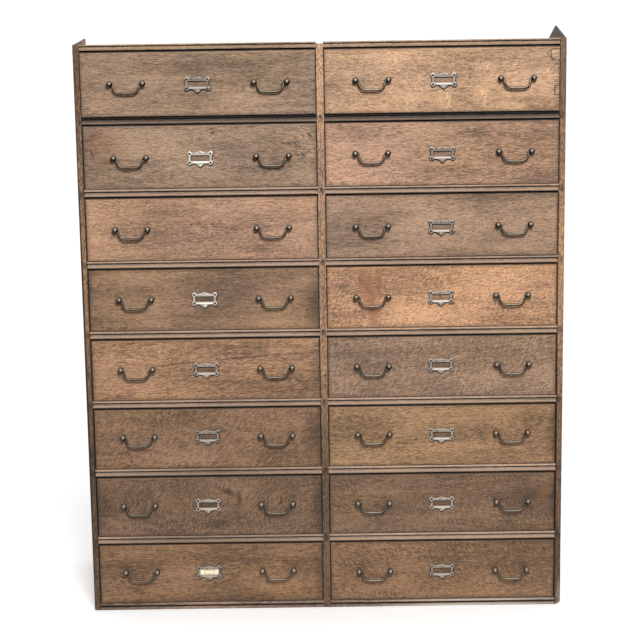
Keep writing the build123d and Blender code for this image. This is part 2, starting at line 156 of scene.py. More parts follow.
def aged_oak(
    name, tone, grain, centre=(0.0, 0.0, 0.0), seed=0.0, half=None, sheen_and_wear=0.0, figure=(3.0, 0.4, 1.0),
    marks=(), courses=None, planks=None,
):
    """Waxed old wood: clouds, streaks, short ray strokes at an angle, pores, seams between planks, courses of
    painted shade and highlight along a moulding, marks, and for a board of a given half size painted shade in
    the gaps round it, grime and painted shade near its edges, and a lighter band of wear and painted
    highlight below its top."""
    material, bench = new_finish(name)
    coordinates = bench.put("ShaderNodeTexCoord").outputs
    shift = {"Vector": coordinates["Object"], "Location": [-c for c in centre]}
    axes = bench.put("ShaderNodeSeparateXYZ", {0: bench.take("ShaderNodeMapping", shift)}).outputs
    along, across, through = (axes["XYZ".index(letter)] for letter in grain)
    board = bench.take("ShaderNodeCombineXYZ", {0: along, 1: across, 2: through})
    trunk = bench.vector("ADD", board, (seed, seed * 0.37, seed * 0.61))
    if planks:
        letter, start, width = planks
        count = bench.sum("DIVIDE", bench.sum("SUBTRACT", axes["XYZ".index(letter)], start), width)
        own = bench.sum("MULTIPLY", bench.sum("FLOOR", count), 3.7)
        trunk = bench.vector("ADD", trunk, bench.take("ShaderNodeCombineXYZ", {0: own, 1: own}))
    drift = bench.sum("MULTIPLY_ADD", bench.noise(trunk, (1.6, 10.0, 10.0)), 0.04, -0.02)
    bend = bench.take("ShaderNodeCombineXYZ", {1: drift, 2: drift})
    fibre = bench.vector("ADD", trunk, bend)
    turn, strength, size = figure
    waver = bench.noise(trunk, (7.0, 14.0, 14.0), 1.0)
    waver = bench.sum("MULTIPLY_ADD", waver, 0.04 * size, -0.02 * size)
    sway = bench.vector("ADD", trunk, bench.take("ShaderNodeCombineXYZ", {0: waver, 1: waver}))
    sockets = {"Vector": sway, "Rotation": (0.0, 0.0, math.radians(-turn))}
    turned_board = bench.take("ShaderNodeMapping", sockets)
    stroke = bench.noise(turned_board, (62.0 / size, 440.0 / size, 440.0 / size), 2.0, 0.6)
    streak = bench.noise(fibre, (4.0, 55.0, 55.0), 3.0, 0.6)
    line = bench.noise(fibre, (34.0, 310.0, 310.0), 3.0, 0.75)
    speck = bench.between(bench.noise(fibre, (120.0, 480.0, 480.0), 1.0), 0.56, 0.66)
    pore = bench.between(bench.noise(fibre, (45.0, 1300.0, 1300.0), 1.0), 0.56, 0.72)
    cloud = bench.noise(trunk, (3.5, 8.0, 8.0), 3.0)
    depth = bench.sum("MULTIPLY_ADD", streak, 0.6, -0.3)
    depth = bench.sum("MULTIPLY_ADD", line, 1.45, depth)
    depth = bench.sum("MULTIPLY_ADD", cloud, 1.5, depth)
    depth = bench.sum("MULTIPLY_ADD", bench.between(stroke, 0.34, 0.66, -0.5, 0.5), strength, depth)
    ramp = bench.put("ShaderNodeValToRGB", {0: bench.sum("SUBTRACT", depth, 0.975)})
    stops = ramp.color_ramp.elements
    stops.new(0.5)
    for stop, spot, lift in zip(stops, (0.08, 0.5, 0.92), (0.38, 1.0, 1.55)):
        stop.position = spot
        stop.color = shade(tone, lift)
    colour = bench.blend(bench.sum("MULTIPLY", speck, 0.65), ramp.outputs[0], shade(tone, 0.25))
    colour = bench.blend(bench.sum("MULTIPLY", pore, 0.45), colour, shade(tone, 0.25))
    wax = bench.between(bench.noise(trunk, (3.0, 9.0, 9.0), 2.0), 0.32, 0.68)
    tint = bench.blend(wax, (1.005, 1.0, 0.94, 1.0), (0.995, 0.997, 1.04, 1.0))
    colour = bench.blend(1.0, colour, tint, "MULTIPLY")
    if planks:
        off_middle = bench.sum("ABSOLUTE", bench.sum("SUBTRACT", bench.sum("FRACT", count), 0.5))
        seam = bench.sum("MULTIPLY", bench.sum("SUBTRACT", 0.5, off_middle), width)
        colour = bench.blend(bench.between(seam, 0.0018, 0.0007, 0.0, 0.85), colour, shade(tone, 0.12))
    # Painted shade and highlight: bands at given heights within every row of a moulding, darker where it
    # turns from the light and lighter where it faces it.
    if courses:
        first, pitch, spans = courses
        level = bench.sum("FLOORED_MODULO", bench.sum("SUBTRACT", across, first), pitch)
        for low, high, lift, share in spans:
            away = bench.sum("ABSOLUTE", bench.sum("SUBTRACT", level, (low + high) / 2))
            reach, fade = (high - low) / 2, 0.0007
            cover = bench.between(away, reach + fade, reach - fade, 0.0, share)
            colour = bench.blend(cover, colour, shade(tone, lift))
    for kind, *spots in marks:
        for spot in spots:
            colour = lay_mark(bench, board, colour, tone, kind, *spot)
    if half:
        side_gap = bench.sum("SUBTRACT", half[0], bench.sum("ABSOLUTE", along))
        head_gap = bench.sum("SUBTRACT", half[1], across)
        foot_gap = bench.sum("ADD", half[1], across)
        rim = bench.sum("MINIMUM", side_gap, bench.sum("MINIMUM", head_gap, foot_gap))
        # Darker within about a centimetre of the front's edges: grime, and painted shade beside the gaps.
        wander = bench.sum("MULTIPLY_ADD", cloud, -0.012, rim)
        grime = bench.between(wander, -0.006, 0.006, 0.45, 0.0)
        patchy = bench.between(cloud, 0.36, 0.54, 0.6, 1.0)
        # Painted shade in the gaps round the front: near black within a few millimetres of its sides, foot
        # and top, and on every face that does not look straight to the front.
        gap_shade = bench.between(bench.sum("MINIMUM", side_gap, foot_gap), 0.0023, 0.0011, 0.0, 0.96)
        gap_shade = bench.sum("MULTIPLY", gap_shade, patchy)
        gap_shade = bench.sum("MAXIMUM", gap_shade, bench.between(head_gap, 0.0032, 0.0017, 0.0, 0.94))
        facing = bench.put("ShaderNodeSeparateXYZ", {0: coordinates["Normal"]}).outputs["Y"]
        edge = bench.between(bench.sum("ABSOLUTE", facing), 0.85, 0.35, 0.0, 0.9)
        # A lighter band just below the top edge: wear, and a painted highlight along the front's lit top.
        head = bench.sum("ABSOLUTE", bench.sum("SUBTRACT", head_gap, 0.0052))
        rubbed = bench.between(head, 0.0022, 0.0008, 0.0, sheen_and_wear)
        rubbed = bench.sum("MULTIPLY", rubbed, bench.between(streak, 0.35, 0.6))
        colour = bench.blend(grime, colour, shade(tone, 0.2))
        colour = bench.blend(rubbed, colour, shade(tone, 1.6))
        colour = bench.blend(bench.sum("MAXIMUM", gap_shade, edge), colour, shade(tone, 0.06))
    relief = bench.sum("SUBTRACT", bench.sum("MULTIPLY", line, 0.8), pore)
    bump = bench.take("ShaderNodeBump", {"Height": relief, "Strength": 0.4, "Distance": 0.0005})
    sockets = {
        "Base Color": colour,
        "Roughness": bench.between(line, 0.35, 0.65, 0.66, 0.46),
        "Specular IOR Level": 0.35,
        "Normal": bump,
    }
    coat(bench, sockets)
    return material


def hang(name, data):
    """A new object at the origin, linked into the scene."""
    thing = bpy.data.objects.new(name, data)
    bpy.context.scene.collection.objects.link(thing)
    return thing


def new_piece(name, shape, *materials):
    """A finished shape as an object at the origin."""
    bmesh.ops.recalc_face_normals(shape, faces=shape.faces)
    mesh = bpy.data.meshes.new(name)
    shape.to_mesh(mesh)
    shape.free()
    for material in materials:
        mesh.materials.append(material)
    return hang(name, mesh)


def ease(shape, width, rounds=2, corner=25.0):
    """Round over every edge that is sharper than a corner angle."""
    sharp = [
        edge for edge in shape.edges
        if len(edge.link_faces) == 2 and edge.calc_face_angle() > math.radians(corner)
    ]
    bmesh.ops.bevel(
        shape, geom=sharp, offset=width, offset_type="OFFSET", segments=rounds, profile=0.5,
        affect="EDGES", clamp_overlap=True,
    )


def eased_copy(node, width):
    """A copy of a CAD node's boards with their arrises worn round."""
    shape = bmesh.new()
    shape.from_mesh(frame["nodes"][node].data)
    bmesh.ops.remove_doubles(shape, verts=shape.verts, dist=1e-6)
    bmesh.ops.dissolve_limit(shape, angle_limit=math.radians(1.0), verts=shape.verts, edges=shape.edges)
    ease(shape, width)
    return shape


def settle(piece, body, slot, *nodes):
    """A piece rides on its body and stands for its CAD nodes, which it hides; the slot is not used."""
    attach(piece, body)
    if nodes:
        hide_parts(*nodes)


upright_tones = {"left_side": "8e6e54", "right_side": "9a7557", "centre_divider": "a38064"}
first_housing, housing_pitch, housing_count = 0.208, 0.2, 7
lowest_nail, nail_drift = -0.592, (-0.001, 0.002, 0.0)
divider_nails = [
    (housing_pitch * joint + lowest_nail, nail_drift[joint % 3], 0.0045, 0.0035, 0, 0.85)
    for joint in range(housing_count)
]
upright_marks = {
    # The darkening marks make each board's front darker near its top and over its lower part.
    "left_side": [
        ("grime", (0.72, 0.0, 0.3, 0.5, 0, 0.5)),
        ("rubbed", (0.3, 0.0, 0.4, 0.3, 0, 0.2)),
        ("grime", (-0.6, 0.0, 0.8, 0.5, 0, 0.9)),
        # Painted shade: a dark strip down the outer front edge, in shadow, and a thin dark line down the
        # inner one beside the drawers' gaps.
        ("edge", (-0.1, -0.0085, 0.82, 0.0064, 0, 0.85), (-0.1, 0.0088, 0.9, 0.0024, 0, 0.8)),
    ],
    "right_side": [
        ("rubbed", (0.1, 0.0, 0.4, 0.3, 0, 0.25)),
        ("grime", (0.75, 0.0, 0.4, 0.5, 0, 0.75), (-0.62, 0.0, 0.75, 0.5, 0, 0.85)),
        # Painted shade: thin dark lines down the inner front edge, beside the drawers' gaps.
        ("edge", (-0.45, -0.0086, 0.6, 0.0034, 0, 0.85), (0.4, -0.0088, 0.5, 0.0022, 0, 0.7)),
        # Painted shade over the right side's cheek above the top, which stands in shadow.
        ("soot", (0.826, 0.0, 0.034, 0.5, 0, 0.8)),
        ("dust", (-0.79, 0.003, 0.05, 0.008, 0, 0.25)),
    ],
    "centre_divider": [
        ("rubbed", (0.8, 0.0, 0.7, 0.5, 0, 0.25)),
        ("grime", (-0.62, 0.0, 0.95, 0.5, 0, 0.95)),
        ("rubbed", (-0.105, 0.001, 0.016, 0.006, 14, 0.9)),
        ("hole", (-0.086, 0.001, 0.01, 0.0012, 50, 0.7), (-0.12, 0.003, 0.004, 0.003, 0, 0.8)),
        ("hole", (-0.148, 0.002, 0.004, 0.003, 0, 0.7), *divider_nails),
    ],
}
upright_wear = 0.0012
glue_lead, glue_pitch = 0.05, 0.19
housing_heights = [first_housing + housing_pitch * rail for rail in range(housing_count)]
for seed, (node, tone) in enumerate(upright_tones.items(), 1):
    low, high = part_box(node)
    middle = (low + high) / 2
    housing_dirt = [(height - middle.z, 0.0, 0.016, 0.012, 0, 0.75) for height in housing_heights]
    marks = upright_marks[node] + [("stain", *housing_dirt)]
    glued = ("Y", low.y - middle.y - glue_lead, glue_pitch)
    oak = aged_oak(
        node + "_oak", tone, "ZXY", middle, seed * 1.9, figure=(1.0, 0.9, 0.8), marks=marks, planks=glued,
    )
    settle(new_piece(node + "_board", eased_copy(node, upright_wear), oak), "carcass", "oak_carcass", node)


# Top, floor and back: a jointed oak top let in behind the top rails, thin pine floors for the bottom
# row, and nine upright pine boards nailed on from behind.


def new_tree(name, inputs):
    """A Geometry Nodes tree with a geometry in and out and named inputs."""
    tree = bpy.data.node_groups.new(name, "GeometryNodeTree")
    tree.interface.new_socket("Geometry", in_out="INPUT", socket_type="NodeSocketGeometry")
    for label, kind in inputs.items():
        tree.interface.new_socket(label, in_out="INPUT", socket_type="NodeSocket" + kind)
    tree.interface.new_socket("Geometry", in_out="OUTPUT", socket_type="NodeSocketGeometry")
    bench = NodeBench(tree)
    return tree, bench, bench.put("NodeGroupInput").outputs


def end_tree(bench, copies, finish):
    """Every tree ends in plain geometry with its finish on it."""
    real = bench.take("GeometryNodeRealizeInstances", {0: copies})
    done = bench.take("GeometryNodeSetMaterial", {"Geometry": real, "Material": finish})
    bench.put("NodeGroupOutput", {0: done})


def rack_tree():
    """Copies of a piece in columns and rows across the cabinet's front or back."""
    inputs = {
        "Piece": "Object", "First": "Vector", "Columns": "Int", "Rows": "Int",
        "Across": "Float", "Up": "Float", "Finish": "Material",
    }
    tree, bench, sizes = new_tree("rack_of_copies", inputs)
    step_across = bench.take("ShaderNodeCombineXYZ", {"X": sizes["Across"]})
    step_up = bench.take("ShaderNodeCombineXYZ", {"Z": sizes["Up"]})
    sockets = {"Count": sizes["Columns"], "Start Location": sizes["First"], "Offset": step_across}
    row = bench.take("GeometryNodeMeshLine", sockets)
    column = bench.take("GeometryNodeMeshLine", {"Count": sizes["Rows"], "Offset": step_up})
    grid = bench.take("GeometryNodeInstanceOnPoints", {"Points": row, "Instance": column})
    grid = bench.take("GeometryNodeRealizeInstances", {0: grid})
    piece = bench.put("GeometryNodeObjectInfo", {"Object": sizes["Piece"]}).outputs["Geometry"]
    copies = bench.take("GeometryNodeInstanceOnPoints", {"Points": grid, "Instance": piece})
    end_tree(bench, copies, sizes["Finish"])
    return tree


def points_tree():
    """Copies of a piece at given points, each turned a little about the line that it is driven along."""
    inputs = {"Piece": "Object", "Turn": "Float", "Seed": "Int", "Finish": "Material"}
    tree, bench, sizes = new_tree("copies_at_points", inputs)
    turn = bench.put("FunctionNodeRandomValue", {"Seed": sizes["Seed"]}, data_type="FLOAT")
    tree.links.new(sizes["Turn"], turn.inputs[3])
    turn.inputs[2].default_value = 0.0
    spin = bench.take("ShaderNodeCombineXYZ", {"Y": turn.outputs[1]})
    piece = bench.put("GeometryNodeObjectInfo", {"Object": sizes["Piece"]}).outputs["Geometry"]
    sockets = {"Points": sizes["Geometry"], "Instance": piece, "Rotation": spin}
    end_tree(bench, bench.take("GeometryNodeInstanceOnPoints", sockets), sizes["Finish"])
    return tree


def grow(name, start, tree, sizes):
    """Run a tree with its sizes and keep what it makes as a plain mesh object."""
    carrier = hang(name + "_start", start)
    modifier = carrier.modifiers.new(name, "NODES")
    modifier.node_group = tree
    for socket in tree.interface.items_tree:
        if socket.in_out == "INPUT" and socket.name in sizes:
            modifier[socket.identifier] = sizes[socket.name]
    graph = bpy.context.evaluated_depsgraph_get()
    mesh = bpy.data.meshes.new_from_object(carrier.evaluated_get(graph))
    mesh.name = name
    carrier.modifiers.remove(modifier)
    bpy.data.objects.remove(carrier)
    return hang(name, mesh)


def scattered(name, places, piece, finish, turn=0.0, seed=0):
    """Copies of a piece at given places, in one finish."""
    points = bpy.data.meshes.new("places")
    points.from_pydata(places, [], [])
    return grow(name, points, scatter, {"Piece": piece, "Turn": turn, "Seed": seed, "Finish": finish})


def block(shape, low, high):
    """A plain block between two corners, added to a shape."""
    size = Vector(high) - Vector(low)
    place = Matrix.Translation((Vector(high) + Vector(low)) / 2) @ Matrix.Diagonal((*size, 1.0))
    bmesh.ops.create_cube(shape, size=1.0, matrix=place)


def eased_block(name, size, wear):
    """A block from the origin with worn arrises, for a tree to copy."""
    shape = bmesh.new()
    block(shape, (0.0, 0.0, 0.0), size)
    ease(shape, wear)
    return new_piece(name, shape)


rack = rack_tree()
scatter = points_tree()
oak_tone = "8a6f57"
pine_tone = "a98762"
top_plank, floor_plank, flat_wear = 0.155, 0.16, 0.001
top_planks = ("Y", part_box("top_board")[0].y, top_plank)
top_oak = aged_oak("top_oak", oak_tone, "XYZ", seed=8.3, planks=top_planks)
top = new_piece("top_boards", eased_copy("top_board", flat_wear), top_oak)
settle(top, "carcass", "oak_carcass", "top_board")
floor_pine = aged_oak("floor_pine", pine_tone, "XYZ", seed=9.1, planks=("Y", 0.0, floor_plank))
floors = new_piece("floors", eased_copy("floor_boards", flat_wear), floor_pine)
settle(floors, "carcass", "pine_inside", "floor_boards")

back_low, back_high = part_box("back_boards")
back_count = 9
back_pitch = (back_high.x - back_low.x) / back_count
back_wear = 0.0015
back_board = eased_block(
    "back_board", (back_pitch, back_high.y - back_low.y, back_high.z - back_low.z), back_wear,
)
back_sizes = {
    "Piece": back_board, "First": back_low, "Columns": back_count, "Rows": 1, "Across": back_pitch, "Up": 0.0,
    "Finish": aged_oak("back_pine", pine_tone, "ZXY", seed=4.7, planks=("X", back_low.x, back_pitch)),
}
back = grow("back_boarding", bpy.data.meshes.new("back_start"), rack, back_sizes)
bpy.data.objects.remove(back_board)
settle(back, "carcass", "pine_inside", "back_boards")


def turned(shape, profile, sides, middle=(0.0, 0.0, 0.0), facing=1.0):
    """Turn a profile of (radius, distance) round the Y axis; facing 1 goes towards -Y."""
    rings = []
    for radius, reach in profile:
        turns = range(sides if radius > 1e-6 else 1)
        rings.append([
            shape.verts.new((
                middle[0] + radius * math.cos(math.tau * turn / sides),
                middle[1] - facing * reach,
                middle[2] + radius * math.sin(math.tau * turn / sides),
            ))
            for turn in turns
        ])
    for near, far in zip(rings, rings[1:]):
        for turn in range(sides):
            corners = [near[turn % len(near)], near[(turn + 1) % len(near)]]
            corners += [far[(turn + 1) % len(far)], far[turn % len(far)]]
            shape.faces.new(list(dict.fromkeys(corners)))


def dull_metal(name, bright, dark, shine=(0.28, 0.5), rubbed=0.55, facing_shade=0.0, metallic=1.0):
    """Old metal: rubbed bright where hands reach it, with brown tarnish in patches, and painted shade on the
    faces that turn down, sideways and back.
    """
    material, bench = new_finish(name)
    coordinates = bench.put("ShaderNodeTexCoord").outputs
    place = coordinates["Object"]
    facing = bench.put("ShaderNodeSeparateXYZ", {0: coordinates["Normal"]}).outputs
    patches = bench.noise(place, (260.0, 260.0, 260.0), 4.0, 0.65)
    specks = bench.noise(place, (1500.0, 1500.0, 1500.0), 2.0)
    # Painted shade: faces that turn down, sideways and back are darkened like tarnish, as strongly as the
    # shade strength passed in.
    sideways = bench.sum("MULTIPLY", bench.sum("ABSOLUTE", facing["X"]), 0.5)
    behind = bench.sum("MULTIPLY_ADD", facing["Y"], 0.7, sideways)
    shade_side = bench.sum("MULTIPLY_ADD", facing["Z"], -0.7, behind)
    patchy = bench.sum("MULTIPLY_ADD", patches, 1.6, -0.3)
    depth = bench.sum("MULTIPLY_ADD", shade_side, facing_shade, bench.sum("MULTIPLY_ADD", specks, 0.4, patchy))
    tarnish_and_shade = bench.between(depth, rubbed, rubbed + 0.35)
    bump = bench.take("ShaderNodeBump", {"Height": specks, "Strength": 0.25, "Distance": 0.0002})
    sockets = {
        "Base Color": bench.blend(tarnish_and_shade, shade(bright), shade(dark)),
        "Metallic": metallic,
        "Roughness": bench.between(tarnish_and_shade, 0.0, 1.0, *shine),
        "Normal": bump,
    }
    coat(bench, sockets)
    return material


iron = dull_metal("old_iron", "5a544e", "2b221c", (0.45, 0.7))
nail_shape = bmesh.new()
nail_profile = ((0.0, 0.0), (0.0032, 0.0), (0.003, 0.0005), (0.0015, 0.0009), (0.0, 0.001))
turned(nail_shape, nail_profile, 8, facing=-1.0)
nail = new_piece("back_nail", nail_shape)
nail_rows = [back_low.z + share * (back_high.z - back_low.z) for share in (0.012, 0.5, 0.994)]
nail_inset = 0.028
nail_places = [
    (back_low.x + back_pitch * board + side, back_high.y, height)
    for board in range(back_count)
    for side in (nail_inset, back_pitch - nail_inset)
    for height in nail_rows
]
settle(scattered("back_nails", nail_places, nail, iron, math.tau, 3), "carcass", "oak_carcass")
bpy.data.objects.remove(nail)


# Rails: moulded oak strips housed between the sides and the divider. Under every drawer runs a rounded
# nosing over a quirk and a cove; the top rail has a square fillet, and the bottom rail a plain groove.


def arc(middle, radius, start, end, steps=8):
    """Points of an arc in a rail's section, as (depth, height)."""
    turns = [math.radians(start + (end - start) * step / steps) for step in range(steps + 1)]
    return [(middle[0] + radius * math.cos(turn), middle[1] + radius * math.sin(turn)) for turn in turns]


def prism(shape, outline, axis, start, end):
    """A closed prism along an axis, from the outline of its section."""
    order = {"X": (2, 0, 1), "Y": (0, 2, 1), "Z": (0, 1, 2)}[axis]
    rings = []
    for level in (start, end):
        corners = [(*point, level) for point in outline]
        rings.append([shape.verts.new([corner[place] for place in order]) for corner in corners])
    near, far = rings
    for place in range(len(outline)):
        following = (place + 1) % len(outline)
        shape.faces.new((near[place], near[following], far[following], far[place]))
    shape.faces.new(near)
    shape.faces.new(far)


def smooth(piece, corner=40.0):
    """Smooth the curved faces and keep the corners crisp."""
    piece.data.shade_smooth()
    piece.data.set_sharp_from_angle(angle=math.radians(corner))


divider_low, divider_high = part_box("centre_divider")
rail_low, rail_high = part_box("front_rails")
rail_depth = rail_high.y - rail_low.y
rail_lip, rail_cove, rail_quirk, rail_nosing = 0.003, 0.009, 0.002, 0.006
rail_height = rail_lip + rail_cove + rail_quirk + rail_nosing
rail_rows = 7
row_pitch = (rail_high.z - rail_low.z - rail_height) / (rail_rows - 1)
bay_length = divider_low.x - rail_low.x
bay_pitch = bay_length + divider_high.x - divider_low.x
lip_round = 0.0008
nosing_foot = rail_height - rail_nosing
cove_top = rail_lip + rail_cove
lower_section = [(rail_depth, 0.0), (lip_round, 0.0), (0.0, lip_round)]
lower_section += arc((0.0, cove_top), rail_cove, -90.0, 0.0)
nosing_round = rail_nosing / 2
nosing = arc((nosing_round, nosing_foot + nosing_round), nosing_round, 270.0, 90.0, 10)
rail_section = lower_section + [(rail_cove, nosing_foot)] + nosing + [(rail_depth, rail_height)]

top_low, top_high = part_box("top_rails")
fillet_top = top_high.z - top_low.z
fillet_round = 0.0007
top_section = lower_section + [
    (fillet_round, cove_top), (0.0, cove_top + fillet_round), (0.0, fillet_top - fillet_round),
    (fillet_round, fillet_top), (rail_depth, fillet_top),
]

base_low, base_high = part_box("base_rails")
base_height = base_high.z - base_low.z
strip_height, groove_height, groove_depth = 0.009, 0.003, 0.004
groove_top = strip_height + groove_height
bead_round = (base_height - groove_top) / 2
base_section = [(rail_depth, 0.0), (lip_round, 0.0), (0.0, lip_round), (0.0, strip_height - lip_round)]
base_section += [(lip_round, strip_height), (groove_depth, strip_height), (groove_depth, groove_top)]
base_section += arc((bead_round, groove_top + bead_round), bead_round, 270.0, 90.0, 10)
base_section += [(rail_depth, base_height)]

# Courses along the rails, painted shade under the lips, in the quirks and in the groove, and painted
# highlights on the nosings and the lit parts of the coves: from one height to another, how light and how
# strong.
rail_painted_shade = [(-0.001, 0.0024, 0.3, 0.8), (0.0066, 0.0100, 0.55, 0.7), (0.0098, 0.0146, 0.1, 0.9)]
rail_painted_highlights = [(0.0164, 0.0205, 1.2, 0.6), (0.0027, 0.0056, 1.45, 0.8)]
top_rail_shade_and_highlight = [(-0.001, 0.0014, 0.25, 0.8), (0.0100, 0.0128, 0.12, 0.8), (0.0028, 0.0070, 1.3, 0.7)]
base_groove_shade = [(strip_height - 0.0006, groove_top + 0.0008, 0.05, 0.95)]
rail_kinds = {
    "front_rails": (rail_section, rail_low, rail_rows, "aa8f7a", rail_painted_shade + rail_painted_highlights),
    "top_rails": (top_section, top_low, 1, "a1866e", top_rail_shade_and_highlight),
    "base_rails": (base_section, base_low, 1, "88715f", base_groove_shade),
}
strip_dust = (0.42, 0.4 * strip_height, 0.36, 0.7 * strip_height, 0, 0.8)
bead_dust = (0.42, groove_top + 0.005, 0.36, 0.0045, 0, 0.8)
# A painted shadow along the highest front rail, where the top drawers that stand out cast it.
top_drawers_shadow = (0.0, rail_high.z - nosing_round, 3.0, 0.0225, 0, 1.0)
rail_marks = {
    "base_rails": [("dust", strip_dust, bead_dust)],
    "front_rails": [("smoke", top_drawers_shadow), ("stain", (-0.33, 0.25, 0.5, 0.6, 0, 0.45))],
}
for node, (section, first, rows, tone, spans) in rail_kinds.items():
    strip_shape = bmesh.new()
    prism(strip_shape, section, "X", 0.0, bay_length)
    strip = new_piece("rail_strip", strip_shape)
    smooth(strip)
    oak = aged_oak(
        node + "_oak", tone, "XZY", seed=len(node) * 1.3, figure=(0.0, 0.3, 1.0),
        marks=rail_marks.get(node, ()), courses=(first.z, row_pitch, spans),
    )
    sizes = {
        "Piece": strip, "First": first, "Columns": 2, "Rows": rows, "Across": bay_pitch, "Up": row_pitch,
        "Finish": oak,
    }
    rails = grow("moulded_" + node, bpy.data.meshes.new("rail_start"), rack, sizes)
    bpy.data.objects.remove(strip)
    settle(rails, "carcass", "oak_carcass", node)


# Runners and stops: pine strips nailed inside the bays for the drawers to slide on, and two small blocks
# glued on each rail that the drawer front shuts against.
runner_low, runner_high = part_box("drawer_runners")
runner_width, runner_height = 0.022, 0.018
runner_size = (runner_width, runner_high.y - runner_low.y, runner_height)
runner = eased_block("runner_strip", runner_size, 0.0012)
bay_starts = (rail_low.x, divider_high.x)
runner_places = [
    (start + side, runner_low.y, runner_low.z + row * row_pitch)
    for start in bay_starts
    for side in (0.0, bay_length - runner_width)
    for row in range(rail_rows)
]
runner_pine = aged_oak("runner_pine", pine_tone, "YXZ", seed=5.5)
runners = scattered("runners", runner_places, runner, runner_pine)
bpy.data.objects.remove(runner)
settle(runners, "carcass", "pine_inside", "drawer_runners")

stop_low, stop_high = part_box("drawer_stops")
stop_width, stop_height = 0.030, 0.005
stop_rows = 8
stop_block = eased_block("stop_block", (stop_width, stop_high.y - stop_low.y, stop_height), 0.0008)
stop_edge = stop_low.x - rail_low.x
stop_places = [
    (start + side, stop_low.y, stop_low.z + row * row_pitch)
    for start in bay_starts
    for side in (stop_edge, bay_length - stop_edge - stop_width)
    for row in range(stop_rows)
]
stops = scattered("stops", stop_places, stop_block, runner_pine)
bpy.data.objects.remove(stop_block)
settle(stops, "carcass", "pine_inside", "drawer_stops")


# Drawers: an oak front lapped over the sides by half-blind dovetails, with paler sides, a grooved-in
# bottom and a low back. Every front was cut from another board, so each has its own tone, figure and wear.
drawer_keys = [f"{column}_{row}" for column in ("left", "right") for row in range(1, 9)]
front_tones = {
    "honey": "b18c6d", "tan": "957a64", "cinnamon": "a9846a", "amber": "ba8e6c", "toffee": "9c785c",
    "nut": "92735a", "hazel": "937355", "dusk": "85674f", "grey": "987b64", "umber": "775d48",
    "walnut": "83644a",
}
front_boards = {
    "left_1": "grey", "left_2": "tan", "left_3": "cinnamon", "left_4": "nut",
    "left_5": "toffee", "left_6": "dusk", "left_7": "umber", "left_8": "walnut",
    "right_1": "honey", "right_2": "cinnamon", "right_3": "grey", "right_4": "amber",
    "right_5": "grey", "right_6": "hazel", "right_7": "umber", "right_8": "walnut",
}
